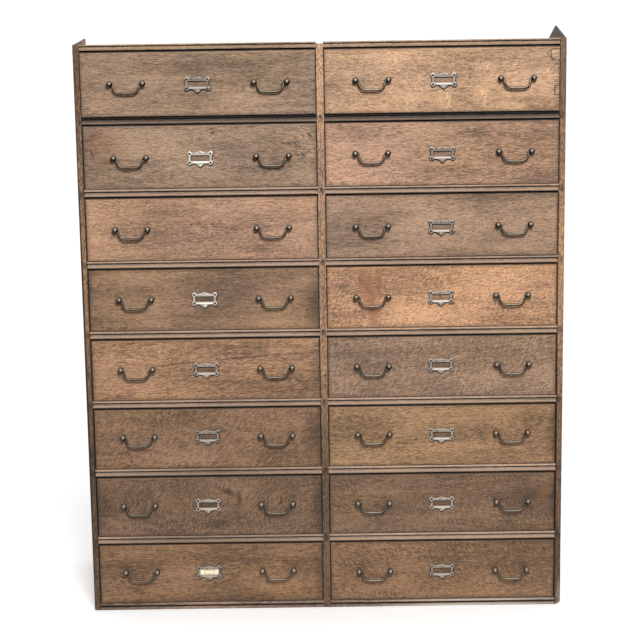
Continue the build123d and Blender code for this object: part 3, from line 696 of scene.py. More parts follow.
# The ray strokes of each front: their angle, strength and size.
front_figures = {
    "left_1": (2.0, 0.3, 0.8), "left_2": (-4.0, 0.4, 0.8), "left_3": (8.0, 0.4, 0.8),
    "left_4": (12.0, 0.35, 0.8), "left_5": (10.0, 0.6, 0.8), "left_6": (40.0, 0.8, 0.9),
    "left_7": (66.0, 0.8, 1.0), "left_8": (-6.0, 0.6, 0.8), "right_1": (-10.0, 0.4, 0.8),
    "right_2": (4.0, 0.4, 0.8), "right_3": (3.0, 0.3, 0.8), "right_4": (30.0, 0.7, 0.8),
    "right_5": (40.0, 0.8, 0.9), "right_6": (6.0, 0.6, 0.8), "right_7": (-34.0, 0.7, 0.9),
    "right_8": (-28.0, 0.9, 0.9),
}
front_marks = {
    "left_1": [
        (
            "stain", (0.316, 0.002, 0.012, 0.003, 0, 0.8), (0.318, -0.022, 0.01, 0.003, 0, 0.7),
            (0.308, -0.088, 0.022, 0.005, 0, 0.9),
        ),
    ],
    "left_2": [
        ("scratches", (-0.299, 0.018, 0.04, 0.022, -68, 0.9), (-0.3, 0.062, 0.04, 0.024, 6, 0.8)),
        ("smear", (-0.27, 0.035, 0.09, 0.08, 0, 0.3)),
        ("rubbed", (0.284, 0.025, 0.05, 0.075, 0, 0.45)),
        (
            "scratches", (-0.262, 0.036, 0.06, 0.004, 0, 0.8), (0.3, 0.06, 0.034, 0.026, -42, 0.9),
            (0.262, 0.036, 0.024, 0.022, -52, 0.9), (0.282, 0.006, 0.03, 0.022, -48, 0.9),
            (0.308, -0.022, 0.022, 0.016, 30, 0.8),
        ),
        ("stain", (0.036, 0.064, 0.01, 0.008, 0, 0.8)),
        ("hole", (0.035, 0.065, 0.003, 0.003, 0, 0.9)),
        ("stain", (-0.132, -0.053, 0.003, 0.004, 0, 0.8), (-0.11, -0.061, 0.004, 0.003, 0, 0.8)),
    ],
    "left_3": [
        (
            "hole", (-0.029, 0.012, 0.0028, 0.0028, 0, 1.0), (0.029, 0.012, 0.0028, 0.0028, 0, 1.0),
            (-0.029, -0.012, 0.0024, 0.0024, 0, 0.9), (0.029, -0.012, 0.0024, 0.0024, 0, 0.9),
        ),
        ("rubbed", (-0.012, -0.003, 0.026, 0.015, 0, 0.5), (0.016, -0.001, 0.024, 0.014, 0, 0.4)),
        ("scratches", (0.008, 0.0, 0.012, 0.014, 80, 0.8)),
        ("hole", (-0.024, 0.032, 0.018, 0.0012, -42, 0.6)),
    ],
    "left_4": [
        ("stain", (0.315, -0.01, 0.045, 0.11, 0, 0.8), (-0.325, 0.03, 0.03, 0.08, 0, 0.5)),
    ],
    "left_5": [
        ("stain", (0.325, 0.0, 0.04, 0.12, 0, 0.5)),
        ("rubbed", (-0.2, 0.05, 0.14, 0.05, 0, 0.45)),
        ("stain", (0.16, -0.07, 0.2, 0.06, 0, 0.3)),
        (
            "hole", (-0.082, 0.0168, 0.052, 0.0019, 5, 0.75), (0.12, 0.033, 0.115, 0.0018, 4.6, 0.8),
            (0.27, 0.042, 0.056, 0.0014, 4, 0.6),
        ),
        ("rays", (-0.27, 0.04, 0.045, 0.03, 60, 0.5), (0.2, 0.055, 0.05, 0.02, 20, 0.4)),
    ],
    "left_6": [
        ("stain", (0.315, 0.0, 0.06, 0.13, 0, 0.8)),
        (
            "ripple", (0.03, -0.03, 0.07, 0.085, 58, 0.6), (0.24, -0.035, 0.1, 0.05, -16, 0.6),
            (-0.06, 0.04, 0.06, 0.08, 48, 0.4),
        ),
        ("stain", (-0.075, -0.02, 0.02, 0.03, 0, 0.4)),
    ],
    "left_7": [
        (
            "ripple", (-0.21, 0.01, 0.085, 0.11, 64, 0.9), (-0.06, 0.03, 0.07, 0.08, 96, 0.7),
            (0.2, 0.01, 0.08, 0.11, 56, 0.9), (0.1, -0.04, 0.05, 0.06, 74, 0.6),
        ),
        (
            "stain", (0.055, 0.04, 0.035, 0.014, -24, 1.0), (0.085, 0.02, 0.01, 0.04, 0, 0.9),
            (0.02, -0.055, 0.06, 0.022, 0, 0.6), (0.32, 0.0, 0.05, 0.13, 0, 0.7),
            (-0.33, 0.0, 0.1, 0.14, 0, 0.7),
        ),
        ("rays", (0.185, 0.025, 0.035, 0.02, 56, 0.5)),
    ],
    "left_8": [
        ("stain", (0.0, -0.085, 0.42, 0.035, 0, 0.5), (0.318, 0.0, 0.035, 0.12, 0, 0.6)),
        (
            "ripple", (0.262, 0.016, 0.06, 0.06, 78, 0.8), (-0.15, 0.04, 0.12, 0.06, -6, 0.6),
            (0.06, -0.05, 0.15, 0.045, -2, 0.5),
        ),
    ],
    "right_1": [
        (
            "rays", (0.01, -0.048, 0.04, 0.03, 70, 0.9), (0.108, -0.04, 0.04, 0.03, 72, 0.9),
            (0.203, -0.076, 0.05, 0.016, -10, 0.8), (0.12, 0.03, 0.03, 0.05, 60, 0.6),
            (0.285, 0.02, 0.04, 0.034, 50, 0.7), (-0.25, 0.0, 0.04, 0.04, -20, 0.5),
        ),
        ("stain", (0.23, -0.055, 0.09, 0.012, 0, 0.4)),
        ("hole", (0.293, 0.068, 0.0068, 0.0068, 0, 0.7)),
    ],
    "right_2": [
        ("hole", (-0.307, -0.079, 0.0062, 0.0062, 0, 0.7), (-0.276, -0.079, 0.0062, 0.0062, 0, 0.7)),
        ("stain", (0.1, 0.055, 0.06, 0.02, 0, 0.3)),
    ],
    "right_4": [
        ("scratches", (-0.29, 0.025, 0.05, 0.035, 55, 0.5)),
        (
            "smear", (-0.205, 0.03, 0.034, 0.095, 0, 0.6), (-0.177, 0.044, 0.016, 0.08, 0, 0.6),
            (-0.226, 0.056, 0.016, 0.05, 0, 0.6), (-0.193, -0.045, 0.024, 0.065, 0, 0.6),
        ),
        ("stain", (-0.02, 0.03, 0.05, 0.04, 0, 0.3)),
        ("scratches", (0.02, -0.03, 0.05, 0.02, -30, 0.5)),
    ],
    "right_5": [
        (
            "ripple", (-0.2, -0.02, 0.11, 0.13, 40, 0.6), (0.02, -0.02, 0.12, 0.13, 38, 0.6),
            (0.22, 0.0, 0.11, 0.12, 42, 0.5),
        ),
    ],
    "right_6": [
        ("stain", (0.25, 0.05, 0.08, 0.04, 0, 0.3), (0.322, 0.0, 0.03, 0.12, 0, 0.7)),
    ],
    "right_7": [
        (
            "ripple", (0.075, -0.005, 0.045, 0.06, -58, 0.8), (-0.06, 0.0, 0.07, 0.09, 60, 0.6),
            (-0.15, -0.03, 0.08, 0.06, 20, 0.6), (0.22, 0.0, 0.09, 0.08, -24, 0.5),
        ),
        ("scratches", (0.188, -0.064, 0.03, 0.026, 90, 0.6)),
        ("smear", (0.29, 0.03, 0.03, 0.05, 0, 0.25)),
        ("stain", (0.322, 0.0, 0.03, 0.12, 0, 0.5)),
    ],
    "right_8": [
        (
            "ripple", (-0.25, 0.025, 0.09, 0.08, -38, 0.9), (0.0, -0.01, 0.12, 0.11, -30, 0.6),
            (0.22, -0.01, 0.1, 0.1, 28, 0.5),
        ),
    ],
}


def shifted(verts, place):
    """Move a piece's points to where it stands."""
    for vert in verts:
        vert.co += place


front_thickness, front_wear, lap_cover, box_side_thickness = 0.020, 0.0014, 0.006, 0.012
front_sheen_and_wear = 0.4
box_bottom_raise, box_bottom_thickness, box_groove = 0.009, 0.008, 0.004
box_back_thickness, box_back_drop = 0.012, 0.020
tail_count, pin_tip, pin_root = 4, 0.005, 0.009
box_side_pine = aged_oak("box_side_pine", pine_tone, "YZX", seed=2.2)
box_bottom_pine = aged_oak("box_bottom_pine", "9c7c5a", "XYZ", seed=6.4)
front_low, front_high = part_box("drawer_left_1")
half_width = (front_high.x - front_low.x) / 2
front_height = front_high.z - front_low.z
box_length = front_high.y - front_low.y
lap = half_width - box_side_thickness
tail_pitch = front_height / tail_count
tails = []
for tail in range(tail_count):
    foot, head = tail * tail_pitch, (tail + 1) * tail_pitch
    tails += [
        (front_thickness, foot + pin_root / 2), (lap_cover, foot + pin_tip / 2),
        (lap_cover, head - pin_tip / 2), (front_thickness, head - pin_root / 2),
    ]


def pin_edges(level, width):
    """Where a dovetail pin starts and ends up the front, cut off at the front's own edges."""
    return [min(max(level * tail_pitch + side * width / 2, 0.0), front_height) for side in (-1, 1)]


pins = []
for level in range(tail_count + 1):
    root_low, root_high = pin_edges(level, pin_root)
    tip_low, tip_high = pin_edges(level, pin_tip)
    pins.append([
        (front_thickness, root_low), (front_thickness, root_high),
        (lap_cover, tip_high), (lap_cover, tip_low),
    ])
front_outline = [
    (-half_width, 0.0), (half_width, 0.0), (half_width, lap_cover), (lap, lap_cover), (lap, front_thickness),
    (-lap, front_thickness), (-lap, lap_cover), (-half_width, lap_cover),
]
side_outline = [(box_length, 0.0), (front_thickness, 0.0), *tails]
side_outline += [(front_thickness, front_height), (box_length, front_height)]
bottom_top = box_bottom_raise + box_bottom_thickness
frame_drop = 0.026
bare_windows = ("left_1", "left_3")
drawer_places = {}
frame_tips = {}
for number, key in enumerate(drawer_keys):
    corners = [corner.co for corner in frame["nodes"][f"fittings_{key}"].data.vertices]
    frame_tips[key] = min(corners, key=lambda corner: corner.z)
    low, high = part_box(f"drawer_{key}")
    place = Vector(((low.x + high.x) / 2, low.y, low.z))
    drawer_places[key] = place
    front_shape = bmesh.new()
    prism(front_shape, front_outline, "Z", 0.0, front_height)
    ease(front_shape, front_wear, 3)
    for pin in pins:
        for side in (-1, 1):
            prism(front_shape, pin, "X", side * lap, side * half_width)
    shifted(front_shape.verts, place)
    face_middle = place + Vector((0.0, 0.0, front_height / 2))
    window = frame_tips[key] - face_middle
    marks = front_marks.get(key, [])
    # Inside each frame's window the wood is darker: dirt, and painted shade from the frame's bars.
    if key not in bare_windows:
        marks = marks + [("soot", (window.x, window.z + frame_drop, 0.036, 0.0115, 0, 0.4))]
    front_oak = aged_oak(
        f"front_oak_{key}", front_tones[front_boards[key]], "XZY", face_middle, 1.7 * number + 0.4,
        (half_width, front_height / 2), front_sheen_and_wear, front_figures[key], marks,
    )
    front = new_piece(f"front_{key}", front_shape, front_oak)
    settle(front, f"drawer_{key}", "oak_drawer", f"drawer_{key}")

    box_shape = bmesh.new()
    for side in (-1, 1):
        prism(box_shape, side_outline, "X", side * lap, side * half_width)
    side_faces = len(box_shape.faces)
    bottom_edge = lap + box_groove
    block(box_shape, (-bottom_edge, front_thickness, box_bottom_raise), (bottom_edge, box_length, bottom_top))
    back_foot = (-lap, box_length - box_back_thickness, bottom_top)
    block(box_shape, back_foot, (lap, box_length, front_height - box_back_drop))
    box_shape.faces.ensure_lookup_table()
    for face in box_shape.faces[side_faces:]:
        face.material_index = 1
    shifted(box_shape.verts, place)
    box = new_piece(f"box_{key}", box_shape, box_side_pine, box_bottom_pine)
    settle(box, f"drawer_{key}", "pine_inside", f"drawer_{key}")


# Repairs: two let-in oak patches and their screws on the top right drawer, and two more screws in the
# drawer under it.
patch_oak = aged_oak("patch_oak", "b89273", "XZY", seed=31.0)
glue_line = aged_oak("glue_line", "3a2a1f", "XZY", seed=32.0)
patch_depth, patch_proud = 0.004, 0.0003
patch_outlines = [
    [(0.298, 0.077), (0.3205, 0.077), (0.3205, 0.050), (0.306, 0.050), (0.299, 0.056)],
    [(0.309, -0.020), (0.3205, -0.020), (0.3205, -0.043), (0.309, -0.043)],
]
patch_shape = bmesh.new()
for outline in patch_outlines:
    prism(patch_shape, outline, "Y", -patch_proud, patch_depth)
patch_faces = len(patch_shape.faces)
glue_margin, glue_proud = 0.0021, 0.0001
for outline in patch_outlines:
    middle = sum((Vector(corner) for corner in outline), Vector((0.0, 0.0))) / len(outline)
    bed = []
    for x, z in outline:
        bed_x = min(x + math.copysign(glue_margin, x - middle.x), half_width)
        bed.append((bed_x, z + math.copysign(glue_margin, z - middle.y)))
    prism(patch_shape, bed, "Y", -glue_proud, patch_depth)
patch_shape.faces.ensure_lookup_table()
for face in patch_shape.faces[patch_faces:]:
    face.material_index = 1
patch_home = drawer_places["right_1"] + Vector((0.0, 0.0, front_height / 2))
shifted(patch_shape.verts, patch_home)
patches = new_piece("front_patches", patch_shape, patch_oak, glue_line)
settle(patches, "drawer_right_1", "oak_drawer")


def slotted_screw(radius, rise, slot):
    """A screw head: a flat disc with two raised halves and a driver's slot between them."""
    shape = bmesh.new()
    sunk, disc = -0.002, rise * 0.4
    turned(shape, ((0.0, sunk), (radius * 0.6, sunk), (radius, 0.0), (radius, disc), (0.0, disc)), 12)
    half_disc = [
        (radius * math.cos(turn), radius * math.sin(turn))
        for turn in (math.radians(step) for step in range(-78, 79, 26))
    ]
    for side in (-1, 1):
        outline = [(side * max(x, slot), z) for x, z in half_disc]
        prism(shape, outline, "Y", -rise, 0.0)
    ease(shape, rise * 0.25, 1)
    return shape


# Some painted shade on the turned-away faces of the repair screws.
bright_steel = dull_metal("worn_steel", "9c8c7b", "241b15", (0.45, 0.65), 0.46, 0.3, 0.3)
repair_screw = new_piece("repair_screw", slotted_screw(0.0042, 0.0012, 0.0005))
repair_places = {
    "right_1": [(0.293, 0.068), (0.315, 0.068)],
    "right_2": [(-0.307, -0.079), (-0.276, -0.079)],
}
for key, spots in repair_places.items():
    home = drawer_places[key] + Vector((0.0, -patch_proud, front_height / 2))
    places = [home + Vector((x, 0.0, z)) for x, z in spots]
    screws = scattered(f"repair_screws_{key}", places, repair_screw, bright_steel, math.tau, 7)
    settle(screws, f"drawer_{key}", "old_brass")
bpy.data.objects.remove(repair_screw)


# Ball posts: cast brass posts turned to a ball, bolted through the front with a square nut behind. Each
# ball takes one end of a bail on its inner side.
post_spacing, post_reach, ball_radius, pin_reach = 0.090, 0.020, 0.0085, 0.043
pivots = {
    joint["child"].removeprefix("bails_"): Vector(joint["pos_m"])
    for joint in frame["joints"] if joint["child"].startswith("bails_")
}
handle_places = {}
for key in drawer_keys:
    low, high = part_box(f"bails_{key}")
    middles = (low.x + pin_reach, high.x - pin_reach)
    handle_places[key] = [Vector((x, pivots[key].y, pivots[key].z)) for x in middles]
post_profile = [
    (0.0, 0.0), (0.0060, 0.0), (0.0062, 0.0006), (0.0058, 0.0014), (0.0049, 0.0022), (0.0044, 0.0036),
    (0.0041, 0.0060), (0.0040, 0.0088), (0.0042, 0.0110), (0.0045, 0.0126), (0.0044, 0.0138),
]
post_profile += [
    (ball_radius * math.sin(math.radians(turn)), post_reach - ball_radius * math.cos(math.radians(turn)))
    for turn in range(40, 181, 10)
]
post_shape = bmesh.new()
turned(post_shape, post_profile, 20)
post = new_piece("ball_post", post_shape)
smooth(post)
nut_shape = bmesh.new()
nut_half, nut_thickness, stud_radius, stud_reach = 0.0065, 0.005, 0.0025, 0.008
nut_outline = [(-nut_half, -nut_half), (nut_half, -nut_half), (nut_half, nut_half), (-nut_half, nut_half)]
prism(nut_shape, nut_outline, "Y", 0.0, nut_thickness)
ease(nut_shape, 0.0008)
stud_profile = ((0.0, 0.0), (stud_radius, 0.0), (stud_radius, stud_reach), (0.0, stud_reach + 0.0008))
turned(nut_shape, stud_profile, 10, facing=-1.0)
nut = new_piece("post_nut", nut_shape)
# Full painted shade on the balls' lower, side and back faces.
post_brass = dull_metal("post_brass", "8d8276", "19130f", (0.46, 0.62), 0.28, 1.0, 0.85)
for number, key in enumerate(drawer_keys):
    face = drawer_places[key].y
    spots = [
        (handle.x + side * post_spacing / 2, handle.z) for handle in handle_places[key] for side in (-1, 1)
    ]
    faces = [(x, face, z) for x, z in spots]
    backs = [(x, face + front_thickness, z) for x, z in spots]
    posts = scattered(f"posts_{key}", faces, post, post_brass, math.tau, number)
    settle(posts, f"drawer_{key}", "old_brass", f"fittings_{key}")
    nuts = scattered(f"nuts_{key}", backs, nut, iron, math.tau, number)
    settle(nuts, f"drawer_{key}", "old_brass")
bpy.data.objects.remove(post)
bpy.data.objects.remove(nut)


# Bails: brass rod bent to a flat-bottomed drop, swelled in the middle for the fingers, with its ends
# turned out into the balls so that it swings.


def bail_tree():
    """A rod bent along a path: rounded corners, a swelled grip and thin ends."""
    inputs = dict.fromkeys(("Elbow", "Corner", "Rod", "Grip", "End"), "Float") | {"Finish": "Material"}
    tree, bench, sizes = new_tree("bent_bail", inputs)
    index = bench.take("GeometryNodeInputIndex")
    from_middle = bench.sum("ABSOLUTE", bench.sum("SUBTRACT", index, 3.0))
    at_corner = bench.sum("LESS_THAN", from_middle, 1.5)
    widening = bench.sum("SUBTRACT", sizes["Corner"], sizes["Elbow"])
    radius = bench.sum("MULTIPLY_ADD", at_corner, widening, sizes["Elbow"])
    sockets = {"Curve": sizes["Geometry"], "Radius": radius, "Limit Radius": True, "Count": 8}
    path = bench.take("GeometryNodeFilletCurve", sockets, mode="POLY")
    path = bench.take("GeometryNodeResampleCurve", {"Curve": path, "Count": 72})
    factor = bench.put("GeometryNodeSplineParameter").outputs["Factor"]
    out = bench.sum("ABSOLUTE", bench.sum("MULTIPLY_ADD", factor, 2.0, -1.0))
    swell = bench.between(out, 0.42, 0.0, 0.0, 1.0)
    swelling = bench.sum("SUBTRACT", sizes["Grip"], sizes["Rod"])
    thick = bench.sum("MULTIPLY_ADD", swell, swelling, sizes["Rod"])
    thinning = bench.sum("SUBTRACT", sizes["End"], sizes["Rod"])
    thick = bench.sum("MULTIPLY_ADD", bench.between(out, 0.66, 0.88), thinning, thick)
    circle = bench.take("GeometryNodeCurvePrimitiveCircle", {"Resolution": 12, "Radius": 1.0})
    sockets = {"Curve": path, "Profile Curve": circle, "Scale": thick, "Fill Caps": True}
    rod = bench.take("GeometryNodeCurveToMesh", sockets)
    end_tree(bench, rod, sizes["Finish"])
    return tree


bail_drop, bail_bow, bail_arm, bail_lean, bail_end = 0.0272, 0.0016, 0.0356, 0.0010, 0.0425
bail_path = bpy.data.curves.new("bail_path", "CURVE")
bail_path.dimensions = "3D"
bail_corners = [
    (-bail_end, 0.0), (-bail_arm, 0.0), (bail_lean - bail_arm, bail_bow - bail_drop), (0.0, -bail_drop),
    (bail_arm - bail_lean, bail_bow - bail_drop), (bail_arm, 0.0), (bail_end, 0.0),
]
bail_line = bail_path.splines.new("POLY")
bail_line.points.add(len(bail_corners) - 1)
for point, (x, z) in zip(bail_line.points, bail_corners):
    point.co = (x, 0.0, z, 1.0)
# Full painted shade on the faces of the bails that turn down, sideways and back.
bail_brass = dull_metal("bail_brass", "72685c", "17110d", (0.42, 0.55), 0.22, 1.0, 0.85)
bail_sizes = {
    "Elbow": 0.0035, "Corner": 0.0190, "Rod": 0.0034, "Grip": 0.0036, "End": 0.0023, "Finish": bail_brass,
}
bail = grow("bent_rod", bail_path, bail_tree(), bail_sizes)
smooth(bail)
for number, key in enumerate(drawer_keys):
    drops = scattered(f"drop_{key}", handle_places[key], bail, bail_brass, seed=number)
    settle(drops, f"bails_{key}", "old_brass", f"bails_{key}")
bpy.data.objects.remove(bail)


# Label frames: thin cast frames with eared corners, a shell crest and a pointed pendant, held by four
# small slotted screws. The third drawer down on the left has lost its frame.
window_half = (0.026, 0.00775)
ear_middle, ear_radius = (0.029, 0.0125), 0.0068
frame_thickness, frame_round = 0.0032, 0.0008
crest = [
    (0.0, 19.4), (2.6, 19.1), (3.2, 18.4), (5.8, 18.3), (6.4, 17.5), (8.8, 17.1), (9.6, 16.2), (12.0, 15.8),
]
side_edge = [(16.0, 15.2), (22.9, 15.0)]
waist = [(33.4, 7.4), (32.8, 4.5), (32.8, -4.5), (33.4, -7.4)]
foot_edge = [(22.9, -15.0), (16.0, -15.2)]
pendant = [
    (12.8, -15.7), (11.6, -17.4), (9.2, -17.9), (8.0, -19.4), (6.6, -21.4), (4.4, -22.6), (2.4, -24.4),
    (0.0, -26.0),
]


def ear(up):
    """The round corner of a frame, above or below its waist, from the inner edge outwards."""
    first, last = (150.0, -38.0) if up > 0 else (38.0, -150.0)
    return arc((ear_middle[0], up * ear_middle[1]), ear_radius, first, last, 9)


def in_metres(points):
    """Points of the outline in millimetres, turned into metres."""
    return [(x / 1000, z / 1000) for x, z in points]


right_edge = in_metres(crest + side_edge) + ear(1) + in_metres(waist) + ear(-1)
right_edge += in_metres(foot_edge + pendant)
frame_edge = right_edge + [(-x, z) for x, z in reversed(right_edge[1:-1])]
window_edge = [
    (across * window_half[0], up * window_half[1]) for across, up in ((-1, -1), (1, -1), (1, 1), (-1, 1))
]


def cast_plate(edges, thickness, rounding, spread=0.0):
    """A flat casting with rounded edges, spread past its outline and into its opening if need be."""
    curve = bpy.data.curves.new("cast_plate", "CURVE")
    curve.dimensions = "2D"
    curve.fill_mode = "BOTH"
    curve.extrude = thickness / 2 - rounding
    curve.bevel_depth = rounding
    curve.bevel_resolution = 1
    curve.offset = spread - rounding
    for edge in edges:
        loop = curve.splines.new("POLY")
        loop.points.add(len(edge) - 1)
        loop.use_cyclic_u = True
        for point, (x, z) in zip(loop.points, edge):
            point.co = (x, z, 0.0, 1.0)
    holder = hang("cast_plate", curve)
    graph = bpy.context.evaluated_depsgraph_get()
    mesh = bpy.data.meshes.new_from_object(holder.evaluated_get(graph))
    bpy.data.objects.remove(holder)
    mesh.transform(Matrix.Translation((0.0, -thickness / 2, 0.0)) @ Matrix.Rotation(math.pi / 2, 4, "X"))
    return mesh


def boss(shape, middle, size, turn=0.0):
    """A raised oval on a frame's face."""
    home = Matrix.Translation((middle[0], -frame_thickness, middle[1])) @ Matrix.Rotation(turn, 4, "Y")
    bmesh.ops.create_uvsphere(
        shape, u_segments=10, v_segments=6, radius=1.0, matrix=home @ Matrix.Diagonal((*size, 1.0)),
    )


frame_shape = bmesh.new()
frame_shape.from_mesh(cast_plate([frame_edge, window_edge], frame_thickness, frame_round))
bmesh.ops.remove_doubles(frame_shape, verts=frame_shape.verts, dist=1e-6)
bead_inner, bead_outer, bead_rise, bead_root = 0.0004, 0.0014, 0.0007, 0.0004
bead_rims = [
    [(x + math.copysign(margin, x), z + math.copysign(margin, z)) for x, z in window_edge]
    for margin in (bead_inner, bead_outer)
]
for start in range(4):
    following = (start + 1) % 4
    run = [bead_rims[0][start], bead_rims[0][following], bead_rims[1][following], bead_rims[1][start]]
    prism(frame_shape, run, "Y", -frame_thickness - bead_rise, bead_root - frame_thickness)
bar_rise, bar_root = 0.0017, 0.0003
bar_slope = [
    (0.0, -bar_root), (0.0, 0.0003), (0.62, 0.55 * bar_rise), (0.86, bar_rise), (1.0, 0.7 * bar_rise),
    (1.0, -bar_root),
]
long_bar_start, long_bar_width, long_bar_half = 0.0086, 0.0062, 0.0215
short_bar_start, short_bar_width, short_bar_half = 0.0268, 0.0056, 0.0064
for side in (-1, 1):
    section = [
        (-frame_thickness - rise, side * long_bar_start + side * long_bar_width * share)
        for share, rise in bar_slope
    ]
    prism(frame_shape, section, "X", -long_bar_half, long_bar_half)
    section = [
        (side * short_bar_start + side * short_bar_width * share, -frame_thickness - rise)
        for share, rise in bar_slope
    ]
    prism(frame_shape, section, "Z", -short_bar_half, short_bar_half)
shell_foot, shell_reach, shell_spread, shell_lean = 0.0126, 0.0036, 0.0052, 26
shell_rib = (0.0012, 0.0010, 0.0030)
for fan in range(-2, 3):
    lean = math.radians(fan * shell_lean)
    rib_middle = (shell_spread * math.sin(lean), shell_foot + shell_reach * math.cos(lean))
    boss(frame_shape, rib_middle, shell_rib, lean)
pendant_bosses = [
    ((0.0, -0.0182), (0.0058, 0.0011, 0.0034)),
    ((0.0, -0.0222), (0.0024, 0.0009, 0.0026)),
    ((-0.0085, -0.0160), (0.0026, 0.0008, 0.0014)),
    ((0.0085, -0.0160), (0.0026, 0.0008, 0.0014)),
]
for spot, size in pendant_bosses:
    boss(frame_shape, spot, size)
# A thin dark plate behind each frame: old polish spread past its edges, dropped a little below the frame so
# that it also paints the frame's drop shadow on the wood.
shadow_plate_thickness, shadow_plate_spread, shadow_drop, shadow_drift = 0.0004, 0.0013, 0.0017, 0.0002
shadow_plate_shape = bmesh.new()
shadow_plate_shape.from_mesh(cast_plate([frame_edge, window_edge], shadow_plate_thickness, 0.0, shadow_plate_spread))
dirt_line = new_piece("dirt_line", shadow_plate_shape)
label_plate = new_piece("label_plate", frame_shape)
smooth(label_plate, 35.0)
screw_head = new_piece("label_screw", slotted_screw(0.0029, 0.0008, 0.0003))
# Painted shade on the frames' faces that turn down, sideways and back.
frame_metals = {
    "bright": dull_metal("bright_frame_metal", "ccc2b6", "2a211a", (0.45, 0.7), 0.36, 0.7, 0.3),
    "plain": dull_metal("plain_frame_metal", "ada196", "261d17", (0.48, 0.7), 0.28, 0.7, 0.3),
    "dark": dull_metal("dark_frame_metal", "9c9186", "211914", (0.48, 0.7), 0.26, 0.7, 0.3),
}
frame_finishes = {
    "left_1": "dark", "left_2": "bright", "left_4": "bright", "left_6": "dark", "left_8": "dark",
    "right_2": "dark", "right_3": "dark", "right_8": "dark",
}
polish_and_shadow = dull_metal("polish_and_shadow", "2b1f17", "140d09", (0.7, 0.9), 0.4, 0.0, 0.0)
black_iron = dull_metal("black_iron", "3a322b", "150f0b", (0.5, 0.7), 0.5, 0.0, 0.6)
for number, key in enumerate(drawer_keys):
    if key == "left_3":
        continue
    tip = frame_tips[key]
    middle = Vector((tip.x, drawer_places[key].y, tip.z + frame_drop))
    # The plate sits lower than the frame, as a painted drop shadow under its bars and lower edge.
    shadow_plate_middle = middle + Vector((shadow_drift, 0.0, -shadow_drop))
    shadow_plate_copy = scattered(f"label_dirt_{key}", [shadow_plate_middle], dirt_line, polish_and_shadow, seed=number)
    settle(shadow_plate_copy, f"drawer_{key}", "old_brass")
    frame_metal = frame_metals[frame_finishes.get(key, "plain")]
    label_frame = scattered(f"label_frame_{key}", [middle], label_plate, frame_metal, seed=number)
    settle(label_frame, f"drawer_{key}", "old_brass", f"fittings_{key}")
    spots = [
        middle + Vector((across * ear_middle[0], -frame_thickness, up * ear_middle[1]))
        for across in (-1, 1) for up in (-1, 1)
    ]
    screws = scattered(f"label_screws_{key}", spots, screw_head, black_iron, math.tau, number)
    settle(screws, f"drawer_{key}", "old_brass")
bpy.data.objects.remove(label_plate)
bpy.data.objects.remove(dirt_line)
bpy.data.objects.remove(screw_head)


# Card: one cream paper card left in the bottom left frame, slid in behind it and bowed a little, with a
# ruled panel and brown foxing.
card_low, card_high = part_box("paper_card")
card_columns = 12
card_bow = 0.0002
card_shape = bmesh.new()
card_middle = (card_low + card_high) / 2
card_half = (card_high - card_low) / 2
front_row, back_row = [], []
for level in (-1, 1):
    for step in range(card_columns + 1):
        spread = 2 * step / card_columns - 1
        bow = card_bow * (1 - spread * spread)
        x = card_middle.x + spread * card_half.x
        z = card_middle.z + level * card_half.z
        front_row.append(card_shape.verts.new((x, card_low.y - bow, z)))
        back_row.append(card_shape.verts.new((x, card_high.y - bow, z)))
stride = card_columns + 1
for row in (front_row, back_row):
    for step in range(card_columns):
        card_shape.faces.new((row[step], row[step + 1], row[stride + step + 1], row[stride + step]))
rim = list(range(stride)) + list(range(2 * stride - 1, stride - 1, -1))
for here, there in zip(rim, rim[1:] + rim[:1]):
    card_shape.faces.new((front_row[here], front_row[there], back_row[there], back_row[here]))
card_paper, card_bench = new_finish("old_paper")
card_place = card_bench.put("ShaderNodeTexCoord").outputs["Object"]
card_spot = card_bench.vector("SUBTRACT", card_place, card_middle)
card_axes = card_bench.put("ShaderNodeSeparateXYZ", {0: card_spot}).outputs
ruled_half = (0.0140, 0.0040)
ruled_gap = [
    card_bench.sum("SUBTRACT", card_bench.sum("ABSOLUTE", card_axes[axis]), size)
    for axis, size in zip((0, 2), ruled_half)
]
ruled = card_bench.sum("ABSOLUTE", card_bench.sum("MAXIMUM", *ruled_gap))
foxing = card_bench.between(card_bench.noise(card_spot, (90.0, 90.0, 90.0), 3.0), 0.5, 0.75, 0.0, 0.4)
fibres = card_bench.noise(card_spot, (2500.0, 2500.0, 2500.0), 2.0)
paper_colour = card_bench.blend(foxing, shade("fff0d2"), shade("e6c998"))
ink = card_bench.between(ruled, 0.0012, 0.0005, 0.0, 0.85)
paper_colour = card_bench.blend(ink, paper_colour, shade("a87f45"))
paper_relief = {"Height": fibres, "Strength": 0.2, "Distance": 0.0001}
paper_bump = card_bench.take("ShaderNodeBump", paper_relief)
coat(card_bench, {"Base Color": paper_colour, "Roughness": 0.85, "Normal": paper_bump})
settle(new_piece("card", card_shape, card_paper), "drawer_left_8", "card", "paper_card")


# Studio: a plain pale floor, a soft key light high in front and a little to the right, and a camera at
# the photograph's angle, square on from just below the cabinet's top.
floor_half = 12.0
floor_shape = bmesh.new()
bmesh.ops.create_grid(floor_shape, x_segments=1, y_segments=1, size=floor_half)
floor_paint, floor_bench = new_finish("pale_floor")
floor_place = floor_bench.put("ShaderNodeTexCoord").outputs["Object"]
floor_reach = floor_bench.put("ShaderNodeVectorMath", {0: floor_place}, operation="LENGTH").outputs["Value"]
floor_sheen = {
    "Base Color": (0.94, 0.94, 0.94, 1.0), "Roughness": 0.9,
    "Emission Color": (1.0, 1.0, 1.0, 1.0), "Emission Strength": 0.28,
}
floor_white = floor_bench.take("ShaderNodeBsdfPrincipled", floor_sheen)
floor_clear = floor_bench.take("ShaderNodeBsdfTransparent")
floor_fade = floor_bench.between(floor_reach, 0.9, 1.9)
floor_blend = floor_bench.put("ShaderNodeMixShader", {0: floor_fade, 1: floor_white, 2: floor_clear})
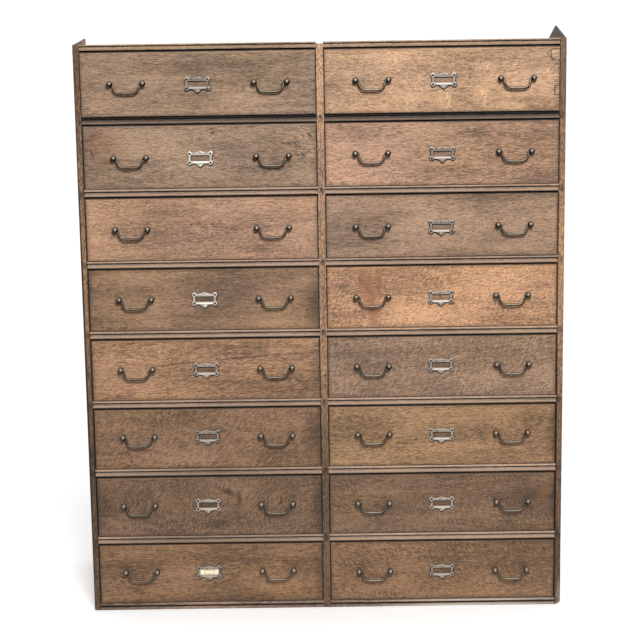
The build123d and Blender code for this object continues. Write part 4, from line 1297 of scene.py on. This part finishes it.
floor_bench.put("ShaderNodeOutputMaterial", {"Surface": floor_blend.outputs[0]})
studio_floor = new_piece("studio_floor", floor_shape, floor_paint)
floor_gap = 0.0005
studio_floor.location.z = -floor_gap

sky = bpy.data.worlds.new("studio_light")
sky.use_nodes = True
sky.node_tree.nodes.clear()
sky_bench = NodeBench(sky.node_tree)
sky_way = sky_bench.put("ShaderNodeTexCoord").outputs["Generated"]
sky_side = sky_bench.put("ShaderNodeSeparateXYZ", {0: sky_way}).outputs
front_glow, back_glow = 0.16, 1.05
sky_glow = sky_bench.between(sky_side["Y"], -0.45, 0.35, front_glow, back_glow)
sky_seen = sky_bench.put("ShaderNodeLightPath").outputs["Is Camera Ray"]
sky_glow = sky_bench.sum("MAXIMUM", sky_glow, sky_bench.sum("MULTIPLY", sky_seen, back_glow))
sky_sockets = {"Color": (1.0, 1.0, 1.0, 1.0), "Strength": sky_glow}
sky_light = sky_bench.take("ShaderNodeBackground", sky_sockets)
sky_bench.put("ShaderNodeOutputWorld", {"Surface": sky_light})
bpy.context.scene.world = sky
bpy.context.scene.view_settings.view_transform = "Standard"

key_place, key_aim = Vector((0.45, -3.95, 2.95)), Vector((0.0, -0.2, 0.95))
key_lamp = bpy.data.lights.new("key_light", "AREA")
key_lamp.shape = "RECTANGLE"
key_lamp.size = key_lamp.size_y = 1.0
key_lamp.energy = 178.0
key_light = hang("key_light", key_lamp)
key_light.location = key_place
key_light.rotation_euler = (key_aim - key_place).to_track_quat("-Z", "Y").to_euler()

camera = bpy.data.cameras.new("photo_camera")
camera.lens = 87.75
camera.sensor_width = 36.0
camera_holder = hang("photo_camera", camera)
camera_pan, camera_tilt, camera_roll = 0.0023, math.radians(80.21), -0.0146
camera_turn = Matrix.Rotation(camera_pan, 4, "Z") @ Matrix.Rotation(camera_tilt, 4, "X")
camera_turn = camera_turn @ Matrix.Rotation(camera_roll, 4, "Z")
camera_holder.matrix_world = Matrix.Translation((0.0007, -4.559, 1.591)) @ camera_turn
bpy.context.scene.camera = camera_holder
